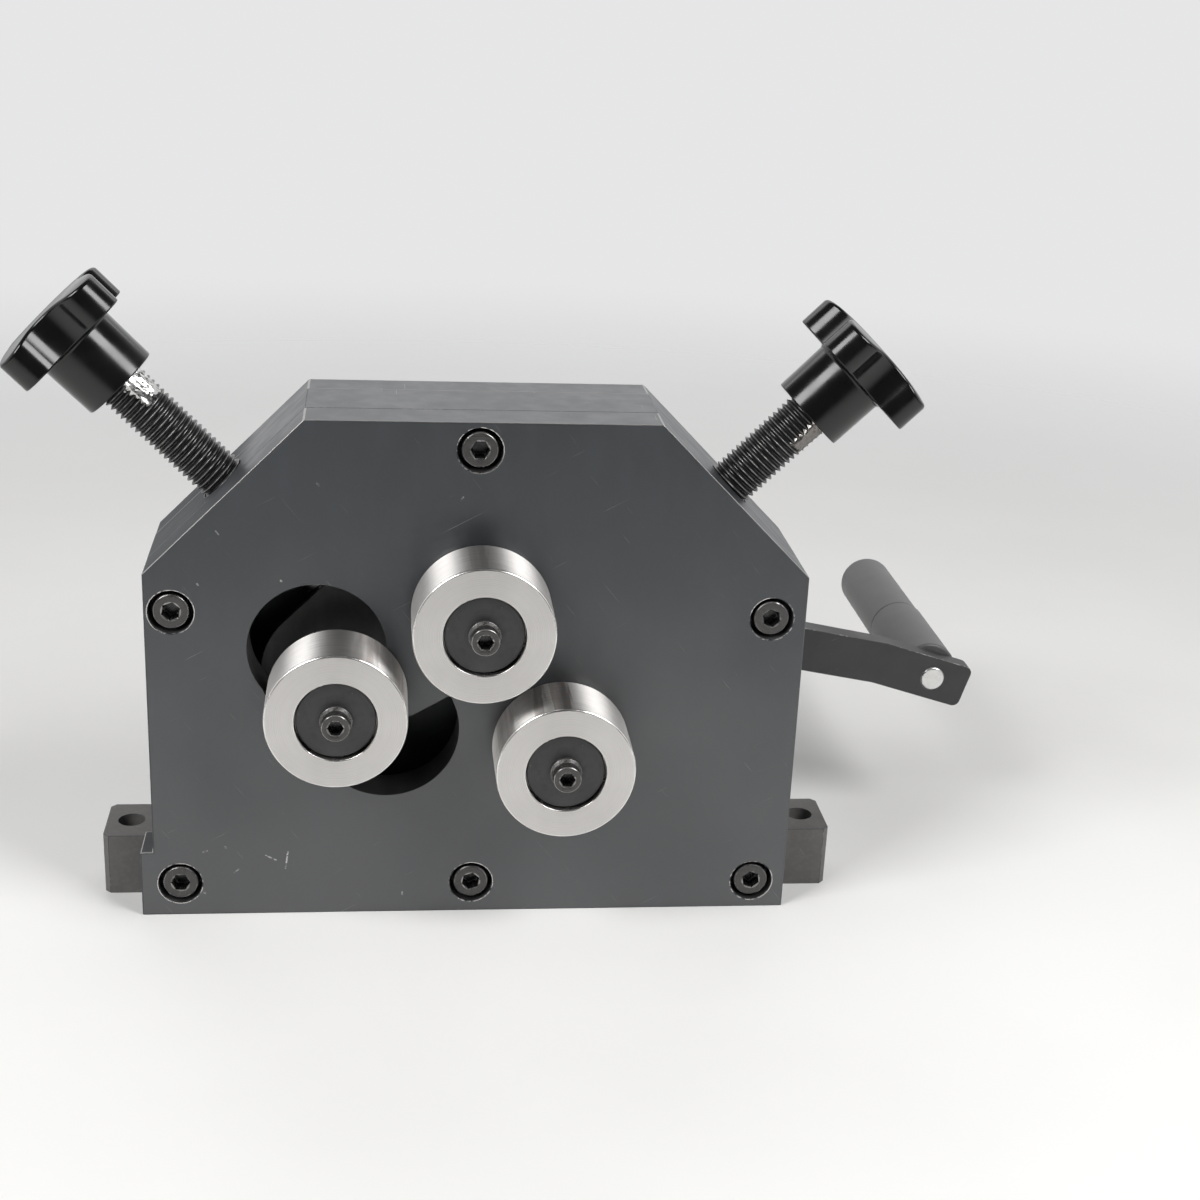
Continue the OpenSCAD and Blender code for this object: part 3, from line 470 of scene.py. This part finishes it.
def fillet(corners, steps=5):
    """A closed outline whose corners (a, b, radius) are rounded."""
    out = []
    for i, (a, b, r) in enumerate(corners):
        here = Vector((a, b))
        before = Vector(corners[i - 1][:2]) - here
        after = Vector(corners[(i + 1) % len(corners)][:2]) - here
        if r <= 0 or before.length == 0 or after.length == 0:
            out.append((a, b))
            continue
        half = before.angle(after) / 2
        reach = min(r / math.tan(half), 0.49 * before.length, 0.49 * after.length)
        start = here + before.normalized() * reach
        end = here + after.normalized() * reach
        centre = here + (before.normalized() + after.normalized()).normalized() * (
            reach / math.cos(half))
        radius = (start - centre).length
        first = math.atan2(*(start - centre).yx)
        sweep = (math.atan2(*(end - centre).yx) - first + math.pi) % TURN - math.pi
        for k in range(steps + 1):
            angle = first + sweep * k / steps
            out.append((centre.x + radius * math.cos(angle), centre.y + radius * math.sin(angle)))
    return out


def ring(bm, radius, depth, steps, axis):
    """One loop of vertices round an axis. The radius may be a function of the angle."""
    loop = []
    for k in range(steps):
        angle = TURN * k / steps
        r = radius(angle) if callable(radius) else radius
        a, b = r * math.cos(angle) * MM, r * math.sin(angle) * MM
        loop.append(bm.verts.new((a, depth * MM, b) if axis == "Y" else (a, b, depth * MM)))
    return loop


def bridge(bm, one, two):
    """Quads between two loops of the same length."""
    for k in range(len(one)):
        nxt = (k + 1) % len(one)
        bm.faces.new((one[k], one[nxt], two[nxt], two[k]))


def turned(bm, profile, steps=96, axis="Y", closed=True):
    """A turned solid: a closed profile of (radius, depth), or an open one capped at both ends."""
    loops = [ring(bm, r, d, steps, axis) for r, d in profile]
    for one, two in zip(loops, loops[1:]):
        bridge(bm, one, two)
    if closed:
        bridge(bm, loops[-1], loops[0])
    else:
        bm.faces.new(loops[0])
        bm.faces.new(loops[-1])
    return loops


def hexagon(across):
    """Radius of a hexagon at an angle."""
    def radius(angle):
        return across / 2 / math.cos(angle % (TURN / 6) - TURN / 12)
    return radius


def centre_of(node):
    """The point on a node's middle axis at its front face, in metres."""
    low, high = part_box(node)
    return Vector(((low.x + high.x) / 2, low.y, (low.z + high.z) / 2))


def half_width(node):
    """Half of a node's width along X, in mm."""
    low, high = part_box(node)
    return (high.x - low.x) / 2 / MM


def depth(node):
    """A node's length along Y, in mm."""
    low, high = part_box(node)
    return (high.y - low.y) / MM


# Plates and blocks

HALF_W, BODY_H, CUT_SUM = 118, 190, 252    # the slopes lie where x + z is CUT_SUM
COUNTERBORE_REACH = 8.5
PLATE_SCREWS = [
    (-1.6, 180), (-108.6, 119.95), (105.4, 118.05), (-108.6, 12.95), (-1.6, 12), (105.4, 11.05),
]


def outside(point):
    """Whether a place lies on the outline of the plates."""
    x, z = abs(point.x) / MM, point.z / MM
    slack = 0.05
    return (x > HALF_W - slack or z < slack or z > BODY_H - slack or x + z > CUT_SUM - slack)


def at_counterbore(point):
    """Whether a place lies at one of the screws' counterbores."""
    return any(
        math.hypot(point.x / MM - x, point.z / MM - z) < COUNTERBORE_REACH for x, z in PLATE_SCREWS
    )


PLATE_FINISH = ("plate", "plate_edge", "bore", "rim", "block")
FACE, EDGE, SHADED_BORE, RIM, FLANK = range(len(PLATE_FINISH))
SEAT_EASE, HOLE_EASE, OUTLINE_EASE = 0.4, 0.3, 0.5
LIT_EDGE_TILT = 0.2    # how far an outer edge has to face upwards to keep its bare steel, as wear and painted highlight


def eased_plate(node):
    """A plate with bare steel on edges that face up, as wear and painted highlight, finely broken
    rims, and black bores as painted shade.
    """
    bm = cad_copy(node)
    low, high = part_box(node)
    for face in bm.faces:
        middle = face.calc_center_median()
        flush = min(abs(middle.y - low.y), abs(middle.y - high.y)) < 0.01 * MM
        if not flush:
            # Walls inside the outline take the bore finish, painted shade of the holes and slot
            face.material_index = FLANK if outside(middle) else SHADED_BORE
    rims = [
        e for e in bm.edges
        if len(e.link_faces) == 2 and sorted(f.material_index for f in e.link_faces) == [FACE, SHADED_BORE]
    ]
    seats = [e for e in rims if any(at_counterbore(v.co) for v in e.verts)]
    bevel(bm, seats, SEAT_EASE, 2, RIM, False)
    bevel(bm, [e for e in rims if e.is_valid], HOLE_EASE, 2, FACE)
    edges = [e for e in sharp_edges(bm, (FACE, FLANK)) if all(outside(v.co) for v in e.verts)]
    bevel(bm, edges, OUTLINE_EASE, 3, EDGE)
    bmesh.ops.recalc_face_normals(bm, faces=bm.faces)
    # Edges that do not face up lose the bare steel: the painted highlight stays on the top edges
    for face in bm.faces:
        if face.material_index == EDGE and face.normal.z < LIT_EDGE_TILT:
            face.material_index = FLANK
    mesh = to_mesh(node + "_eased", bm)
    piece(node + "_eased", mesh, BODY[node], PLATE_FINISH, (node,))


for node in ("front_plate", "rear_plate"):
    eased_plate(node)
for node in ("top_block", "left_block", "right_block"):
    eased(node, "block", "block_edge", 0.4)
eased("base_bar", "lug", "block_edge", 0.5)
eased("rocker_arm", "rocker", "rocker_edge", 0.6)


# Screws

SCREW_FINISH = ("screw", "screw_edge", "socket")
SCREW_EDGE, SHADED_SOCKET = 1, 2
# Head radius and height, hexagon's width and depth, shank radius
M8_HEAD = (6.5, 8, 6, 4.8, 4)
M6_HEAD = (5, 7, 5, 4.2, 3)
CRANK_HEAD = (6.4, 8, 6, 4.8, 4)
M6_FLANGE = (5.7, 1.4)
POINT = 0.8         # chamfer at the end of a shank
MOUTH_DEPTH = 0.25  # chamfer at the mouth of a socket


def socket_screw(bm, head, length, edge, flange=None):
    """A cap screw about Y, its head's face at depth 0 and its shank going deeper to length."""
    head_r, head_h, hex_w, hex_depth, shank_r = head
    steps = 96
    mouth = hex_w / 2 / math.cos(TURN / 12) + 0.15
    under = head_h if flange is None else head_h - flange[1]
    outer = fillet([(mouth, 0, 0), (head_r, 0, edge), (head_r, under, 0.25)], 4)
    if flange is not None:
        corners = [(head_r, under, 0), (flange[0], under, 0.35), (flange[0], head_h, 0)]
        outer += fillet(corners, 4)[1:]
    outer += [(shank_r, head_h), (shank_r, length - POINT), (shank_r - POINT, length)]
    loops = turned(bm, outer, steps, "Y", False)
    bm.faces.remove(next(f for f in loops[0][0].link_faces if len(f.verts) == steps))
    walls = [loops[0]] + [ring(bm, hexagon(hex_w), d, steps, "Y") for d in (MOUTH_DEPTH, hex_depth)]
    walls.append(ring(bm, hex_w * 0.42, hex_depth + 0.5, steps, "Y"))
    for one, two in zip(walls, walls[1:]):
        bridge(bm, one, two)
    bm.faces.new(walls[-1])
    for face in bm.faces:
        face.normal_update()
        middle = face.calc_center_median()
        inside = math.hypot(middle.x, middle.z) < mouth * MM
        # Faces at the mouth take the worn edge; deeper ones take the darker socket finish, painted
        # shade of the recess
        if inside and 0.05 * MM < middle.y < (hex_depth + 1) * MM:
            face.material_index = SCREW_EDGE if middle.y < 0.2 * MM else SHADED_SOCKET
        elif 0.2 < abs(face.normal.y) < 0.97 and middle.y < head_h * MM:
            face.material_index = SCREW_EDGE


SCREW_TURN = 0.7    # from one screw's hexagon to the next, in radians


def plate_screws(node, face_out):
    """The six cap screws of one plate, as one piece."""
    low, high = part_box(node)
    merged = bmesh.new()
    for i, (x, z) in enumerate(PLATE_SCREWS):
        bm = bmesh.new()
        socket_screw(bm, M8_HEAD, depth(node), 0.9)
        y = low.y if face_out < 0 else high.y
        flip = Matrix.Identity(4) if face_out < 0 else Matrix.Rotation(math.pi, 4, "X")
        spin = Matrix.Rotation(SCREW_TURN * i, 4, "Y")
        bm.transform(Matrix.Translation((x * MM, y, z * MM)) @ flip @ spin)
        part = bpy.data.meshes.new("screw")
        bm.to_mesh(part)
        bm.free()
        merged.from_mesh(part)
        bpy.data.meshes.remove(part)
    piece(node + "_turned", to_mesh(node, merged), BODY[node], SCREW_FINISH, (node,))


plate_screws("front_screws", -1)
plate_screws("rear_screws", 1)


# Rollers

ROLLER_FACE, ROLLER_EDGE = 1, 2
ROLLER_BORE_R, WASHER_ROOM, WASHER_BORE_R = 9, 0.4, 3.5


def roller_set(side):
    """A turned roller with its dark retaining washer and its screw."""
    name = side + "_roller"
    place = Matrix.Translation(centre_of(name))
    radius, length = half_width(name), depth(name)
    washer_r = half_width(name + "_washer")
    seat = (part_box(name + "_washer")[1].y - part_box(name)[0].y) / MM
    recess = washer_r + WASHER_ROOM

    bm = bmesh.new()
    turned(bm, fillet([
        (ROLLER_BORE_R, length, 0.6), (radius, length, 0.9), (radius, 0, 0.9), (recess, 0, 0.5),
        (recess, seat, 0), (ROLLER_BORE_R, seat, 0.3),
    ]), 128)
    for face in bm.faces:
        face.normal_update()
        middle = face.calc_center_median()
        if abs(face.normal.y) > 0.95:
            face.material_index = ROLLER_FACE
        elif abs(face.normal.y) > 0.2 or math.hypot(middle.x, middle.z) < (recess + 0.05) * MM:
            face.material_index = ROLLER_EDGE
    piece(name + "_turned", to_mesh(name, bm), BODY[name],
          (name, "roller_face", "roller_edge"), (name,), place)

    bm = bmesh.new()
    thick = depth(name + "_washer")
    turned(bm, fillet([
        (WASHER_BORE_R, thick, 0), (washer_r, thick, 0.3), (washer_r, 0, 0.6),
        (WASHER_BORE_R, 0, 0.3),
    ]), 112)
    washer_place = Matrix.Translation(centre_of(name + "_washer"))
    piece(name + "_washer_turned", to_mesh(name + "_washer", bm), BODY[name],
          ("washer",), (name + "_washer",), washer_place)

    bm = bmesh.new()
    socket_screw(bm, M6_HEAD, depth(name + "_screw"), 0.6, M6_FLANGE)
    screw_place = Matrix.Translation(centre_of(name + "_screw"))
    piece(name + "_screw_turned", to_mesh(name + "_screw", bm), BODY[name],
          SCREW_FINISH, (name + "_screw",), screw_place)


for side in ("top", "left", "right"):
    roller_set(side)


# Adjusting screws and knobs

TOP_Z = 121      # height of the top roller's axis
LEVER = 37.6     # from that axis to an adjusting screw's axis
SCREW_L = 99
FOOT_H = 8.35
SPIGOT_R, SPIGOT_START = 4.5, 3.55
STUD_L = 4       # how far the thread goes into the knob
# Distance of each foot's face from the foot of that lever
TOUCH = {"left": 41.9, "right": 31.7}
SIDE = {"left": -1, "right": 1}
KNOB_TURN = {"left": 53, "right": 51}


def adjuster_place(side):
    """Places a piece along an adjusting screw: Z runs outwards from the foot's face."""
    arm = LEVER * math.sqrt(0.5)
    return (
        Matrix.Translation(Vector((SIDE[side] * arm, 0, TOP_Z - arm)) * MM)
        @ Matrix.Rotation(math.radians(45 * SIDE[side]), 4, "Y")
        @ Matrix.Translation((0, 0, TOUCH[side] * MM))
    )


def cut_thread(bm, low, high):
    """A right-hand thread between two depths, as one welded helical band closed at its ends."""
    steps = 64
    # Radius and share of the pitch
    form = ((ROOT, 0.0), (ROOT, 0.06), (CREST - 0.1, 0.42), (CREST, 0.47), (CREST, 0.53),
            (CREST - 0.1, 0.58), (ROOT, 0.94))
    turns = math.ceil((high - low) / PITCH) + 3
    rows = []
    for i in range(turns * steps + 1):
        angle = TURN * i / steps
        start = low - 1.5 * PITCH + PITCH * i / steps
        rows.append([
            bm.verts.new((r * math.cos(angle) * MM, r * math.sin(angle) * MM,
                          (start + share * PITCH) * MM))
            for r, share in form
        ])
    for i in range(turns * steps):
        one, two = rows[i], rows[i + 1]
        for k in range(len(form) - 1):
            bm.faces.new((one[k], two[k], two[k + 1], one[k + 1]))
        if i + steps < turns * steps:
            upper, upper_two = rows[i + steps][0], rows[i + steps + 1][0]
            bm.faces.new((one[-1], two[-1], upper_two, upper))
    for depth_mm, outward in ((low, -1), (high, 1)):
        geom = bm.verts[:] + bm.edges[:] + bm.faces[:]
        cut = bmesh.ops.bisect_plane(
            bm, geom=geom, plane_co=(0, 0, depth_mm * MM), plane_no=(0, 0, outward),
            clear_outer=True,
        )
        rim = [e for e in cut["geom_cut"] if isinstance(e, bmesh.types.BMEdge)]
        bmesh.ops.contextual_create(bm, geom=rim)


KNOB_D, LOBE_D, HOLLOW_R, LOBES = 55.5, 16, 12, 4
HUB_R, HUB_L, RIM_H, DOME_H = 14.75, 21, 12, 4
DOME_R = ((KNOB_D / 2) ** 2 + DOME_H ** 2) / (2 * DOME_H)
FLAT_H = 2.7     # height at which the dome levels off


def knob_outline():
    """Points and outward normals of the round lobes and the hollows between them."""
    half = math.pi / LOBES
    lobe_c, lobe_r = (KNOB_D - LOBE_D) / 2, LOBE_D / 2
    hollow_c = lobe_c * math.cos(half) + math.sqrt(
        (lobe_r + HOLLOW_R) ** 2 - (lobe_c * math.sin(half)) ** 2)
    swing = math.atan2(hollow_c * math.sin(half), hollow_c * math.cos(half) - lobe_c)
    out = []
    for i in range(LOBES):
        a = 2 * half * i
        lobe = lobe_c * Vector((math.cos(a), math.sin(a)))
        for k in range(24):
            t = a - swing + 2 * swing * k / 24
            n = Vector((math.cos(t), math.sin(t)))
            out.append((lobe + lobe_r * n, n))
        hollow = hollow_c * Vector((math.cos(a + half), math.sin(a + half)))
        first, last = a + swing + math.pi, a + 2 * half - swing + math.pi
        for k in range(16):
            t = first + (last - first) * k / 16
            n = Vector((math.cos(t), math.sin(t)))
            out.append((hollow + HOLLOW_R * n, -n))
    return out


def quarter(steps):
    """Pairs along a quarter round: how far it still is from its one side and off its other."""
    turns = [math.pi / 2 * k / steps for k in range(steps + 1)]
    return [(1 - math.sin(t), 1 - math.cos(t)) for t in turns]


def dome(p):
    """Height of the top over a point of the head: a dome that levels off in the middle."""
    rise = DOME_H - DOME_R + math.sqrt(DOME_R ** 2 - p.length_squared)
    return HUB_L + RIM_H + FLAT_H * math.tanh(rise / FLAT_H)


def knob_mesh(bm):
    """A star knob about Z: hub, scalloped rim with rounded edges, domed top."""
    outline = knob_outline()
    low_edge, top_edge, fillet_r = 0.6, 1.1, 1.4
    bore, bore_l, bore_edge = 9.3, 6, 0.4
    foot_r, hub_edge = HUB_R - 0.2, 0.5
    loops = []

    def loop(points):
        loops.append([bm.verts.new((p.x * MM, p.y * MM, z * MM)) for p, z in points])

    def hub_loop(r, z):
        loop([(p.normalized() * r, z) for p, _ in outline])

    hub_loop(bore, bore_l)
    hub_loop(bore, bore_edge)
    hub_loop(bore + bore_edge, 0)
    for left, done in quarter(4):
        hub_loop(foot_r - hub_edge * left, hub_edge * done)
    for left, done in quarter(5):
        hub_loop(HUB_R + fillet_r * done, HUB_L - fillet_r * left)
    for left, done in quarter(4):
        loop([(p - n * low_edge * left, HUB_L + low_edge * done) for p, n in outline])
    for left, done in quarter(5):
        ring_pts = [p - n * top_edge * done for p, n in outline]
        loop([(q, dome(q) - top_edge * left) for q in ring_pts])
    inner = [p - n * top_edge for p, n in outline]
    for share in (0.92, 0.8, 0.66, 0.5, 0.34, 0.18, 0.06):
        loop([(q * share, dome(q * share)) for q in inner])
    for one, two in zip(loops, loops[1:]):
        bridge(bm, one, two)
    bm.faces.new(loops[0])
    bm.faces.new(loops[-1])


# Middle and half spread in degrees, length and rise of each tack weld
TACK = {"left": (-40, 48, 13.5, 0.7), "right": (-56, 36, 14, 0.05)}


def tack_mesh(bm, side):
    """A lumpy patch of weld over the thread next to the knob."""
    middle, spread, length, rise = TACK[side]
    rows, cols = 30, 34
    skin, under = [], []
    for i in range(rows + 1):
        v = i / rows
        z = SCREW_L - length * v + 0.6
        for k in range(cols + 1):
            u = 2 * k / cols - 1
            angle = math.radians(middle + spread * u * (1 - 0.25 * v))
            rough = noise.noise(Vector((u * 2.6, v * 3.4, SIDE[side] * 4.0)))
            fine = noise.noise(Vector((u * 9.0, v * 9.0, SIDE[side] * 9.0)))
            edge = max(abs(u), abs(2 * v - 1) if v > 0.5 else 0) + 0.22 * rough
            fall = max(0.0, min(1.0, (1.02 - edge) / 0.4))
            r = ROOT - 0.6 + (CREST - ROOT + 0.6 + rise * (0.6 + rough) + 0.25 * fine) * fall
            across, up = math.cos(angle) * MM, math.sin(angle) * MM
            skin.append(bm.verts.new((r * across, r * up, z * MM)))
            under.append(bm.verts.new(((ROOT - 1.2) * across, (ROOT - 1.2) * up, z * MM)))
    wide = cols + 1
    for i in range(rows):
        for k in range(cols):
            a = i * wide + k
            bm.faces.new((skin[a], skin[a + 1], skin[a + wide + 1], skin[a + wide]))
            bm.faces.new((under[a], under[a + wide], under[a + wide + 1], under[a + 1]))
    border = (list(range(wide)) + [i * wide + cols for i in range(1, rows + 1)]
              + [rows * wide + k for k in range(cols - 1, -1, -1)]
              + [i * wide for i in range(rows - 1, 0, -1)])
    for a, b in zip(border, border[1:] + border[:1]):
        bm.faces.new((skin[a], under[a], under[b], skin[b]))


for side in ("left", "right"):
    place = adjuster_place(side)
    bm = bmesh.new()
    cut_thread(bm, FOOT_H, SCREW_L + STUD_L)
    turned(bm, [(SPIGOT_R, SPIGOT_START), (SPIGOT_R, FOOT_H + 1)], 48, "Z", False)
    node = side + "_adjuster"
    piece(node + "_cut", to_mesh(node, bm), BODY[node], ("thread",), (node,), place)

    bm = bmesh.new()
    knob_mesh(bm)
    bm.transform(Matrix.Rotation(math.radians(KNOB_TURN[side]), 4, "Z"))
    node = side + "_knob"
    knob_place = place @ Matrix.Translation((0, 0, SCREW_L * MM))
    piece(node + "_moulded", to_mesh(node, bm), BODY[node], ("knob",), (node,),
          knob_place)

    bm = bmesh.new()
    tack_mesh(bm, side)
    piece(side + "_tack", to_mesh(side + "_tack", bm), BODY[node], (side + "_tack",),
          (), place)


# Crank and grip

eased("crank_arm", "crank", "crank_edge", 0.6, 3)
eased("crank_washer", "pin", "pin", 0.3)


PIN_HOLE_R = 5.04
SINK_R, SINK_H = 8.35, 4.05    # room for the pin's washer in the cap


def grip_part(node, corners, finish, closed=False):
    """A turned piece of the grip from its profile's corners (radius, depth, rounding)."""
    bm = bmesh.new()
    turned(bm, fillet(corners, 8), 96, "Y", closed)
    place = Matrix.Translation(centre_of(node))
    piece(node + "_moulded", to_mesh(node, bm), BODY[node], (finish,), (node,), place)


sleeve_l, cap_l = depth("grip_sleeve"), depth("grip_cap")
grip_r, cap_r = half_width("grip_sleeve"), half_width("grip_cap")
grip_part("grip_sleeve", [
    (PIN_HOLE_R, 0, 0.3), (grip_r, 0, 1.2), (grip_r, sleeve_l, 1.4), (PIN_HOLE_R, sleeve_l, 0.3),
], "grip", True)
grip_part("grip_cap", [
    (2, SINK_H, 0), (SINK_R, SINK_H, 0), (SINK_R, 0, 0.3), (cap_r, 0, 1.4), (cap_r, cap_l, 8),
    (2, cap_l, 0),
], "grip")
pin_r, pin_l = half_width("handle_pin"), depth("handle_pin")
grip_part("handle_pin", [
    (1, 0, 0), (pin_r, 0, 0.9), (pin_r, pin_l, 0.4), (1, pin_l, 0),
], "pin")

bm = bmesh.new()
socket_screw(bm, CRANK_HEAD, depth("crank_bolt"), 0.9)
bolt_low, bolt_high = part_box("crank_bolt")
bolt_place = Matrix.Translation((
    (bolt_low.x + bolt_high.x) / 2, bolt_high.y, (bolt_low.z + bolt_high.z) / 2,
)) @ Matrix.Rotation(math.pi, 4, "X")
piece("crank_bolt_turned", to_mesh("crank_bolt", bm), BODY["crank_bolt"],
      SCREW_FINISH, ("crank_bolt",), bolt_place)


# Working parts that keep their CAD shape

KEPT = {
    "bronze": ["drive_front_bush", "drive_rear_bush", "right_front_bush", "right_rear_bush",
               "rocker_bush", "left_front_bush", "left_rear_bush"],
    "shaft": ["drive_shaft", "right_shaft", "left_shaft", "drive_gear", "driven_gear",
              "left_circlip", "drive_gear_key", "driven_gear_key", "top_roller_key",
              "left_roller_key", "right_roller_key", "left_foot", "right_foot"],
    "pin": ["pin_washer"],
}
for finish, names in KEPT.items():
    for name in names:
        for slot in NODES[name].material_slots:
            slot.material = FINISH[finish]


# Stage

def floor_finish():
    """Pale table top that fades into the pale background far from the part."""
    fade_start, fade_end = 0.35, 1.25
    f = Finish("floor_pale", Roughness=0.6)
    tone = f.mix(f.band(f.noise(160, 4.0), 0.3, 0.7), (0.86, 0.855, 0.84), (0.89, 0.885, 0.87))
    f.drive("Base Color", tone)
    f.drive("Alpha", f.band(f.across("Z"), fade_start, fade_end, 1.0, 0.0))
    return f.material


def add_floor():
    bm = bmesh.new()
    bmesh.ops.create_grid(bm, x_segments=8, y_segments=8, size=6.0)
    mesh = to_mesh("floor", bm)
    mesh.materials.append(floor_finish())
    floor = bpy.data.objects.new("floor", mesh)
    bpy.context.scene.collection.objects.link(floor)


def add_light(name, at, aim, size, power):
    """A white rectangular lamp, unseen by the camera."""
    lamp = bpy.data.lights.new(name, "AREA")
    lamp.shape = "RECTANGLE"
    lamp.size, lamp.size_y = size
    lamp.energy = power
    obj = bpy.data.objects.new(name, lamp)
    bpy.context.scene.collection.objects.link(obj)
    obj.visible_camera = False
    direction = Vector(aim) - Vector(at)
    turn = direction.to_track_quat("-Z", "Y").to_matrix().to_4x4()
    obj.matrix_world = Matrix.Translation(at) @ turn


def add_world():
    """A little plain light, a pale background, and a room for reflections: pale walls on three
    sides, dimmer overhead, below and behind the camera."""
    plain, shade = 0.12, 0.8    # strength of the plain light and of the background
    world = bpy.data.worlds.new("studio")
    world.use_nodes = True
    tree = world.node_tree
    back = tree.nodes["Background"]

    def add(kind, values=(), links=()):
        made = tree.nodes.new("ShaderNode" + kind)
        for key, value in values:
            made.inputs[key].default_value = value
        for key, source in links:
            tree.links.new(source, made.inputs[key])
        return made

    way = add("SeparateXYZ", (), [(0, add("TexCoord").outputs["Generated"])])
    walls = add("MapRange", [(1, -0.7), (2, -0.15), (3, 0.1), (4, 1.0)], [(0, way.outputs["Y"])])
    ground = add("MapRange", [(1, -0.12), (2, 0.0), (3, 0.5), (4, 1.0)], [(0, way.outputs["Z"])])
    ceiling = add("MapRange", [(1, 0.4), (2, 0.62), (3, 1.0), (4, 0.12)], [(0, way.outputs["Z"])])
    room = add("Math", (), [(0, walls.outputs[0]), (1, ceiling.outputs[0])])
    room.operation = "MULTIPLY"
    lower = add("Math", (), [(0, room.outputs[0]), (1, ground.outputs[0])])
    lower.operation = "MULTIPLY"
    path = add("LightPath")
    mirrored = add("Math", (), [(0, path.outputs["Is Glossy Ray"]),
                                (1, path.outputs["Is Transmission Ray"])])
    level = add("MapRange", [(3, plain)], [(0, mirrored.outputs[0]), (4, lower.outputs[0])])
    seen = path.outputs["Is Camera Ray"]
    shown = add("MapRange", [(4, shade)], [(0, seen), (3, level.outputs[0])])
    tree.links.new(shown.outputs[0], back.inputs["Strength"])
    back.inputs["Color"].default_value = (0.99, 0.99, 1.0, 1)
    bpy.context.scene.world = world


def add_camera():
    """The photograph's view: place, aim and roll found from the part's corners."""
    at = Vector((-35.58, -660.95, 360.22)) * MM
    aim = Vector((42.28, -30.25, 125.23)) * MM
    roll = math.radians(2.679)
    camera = bpy.data.cameras.new("photo_view")
    camera.sensor_width = 36
    camera.lens = 56.853
    camera.clip_start = 0.02
    obj = bpy.data.objects.new("photo_view", camera)
    bpy.context.scene.collection.objects.link(obj)
    look = (aim - at).to_track_quat("-Z", "Y").to_matrix().to_4x4()
    obj.matrix_world = Matrix.Translation(at) @ look @ Matrix.Rotation(roll, 4, "Z")
    bpy.context.scene.camera = obj


add_floor()
add_world()
add_light("left_lamp", (-0.75, -0.55, 0.9), (0, -0.1, 0.08), (0.5, 0.6), 10.3)
add_light("right_lamp", (0.75, -0.55, 0.9), (0, -0.1, 0.08), (0.5, 0.6), 10.3)
add_light("back_lamp", (0.0, 1.0, 1.1), (0, 0, 0.15), (1.6, 0.6), 4.5)
add_camera()
bpy.context.scene.view_settings.view_transform = "Standard"
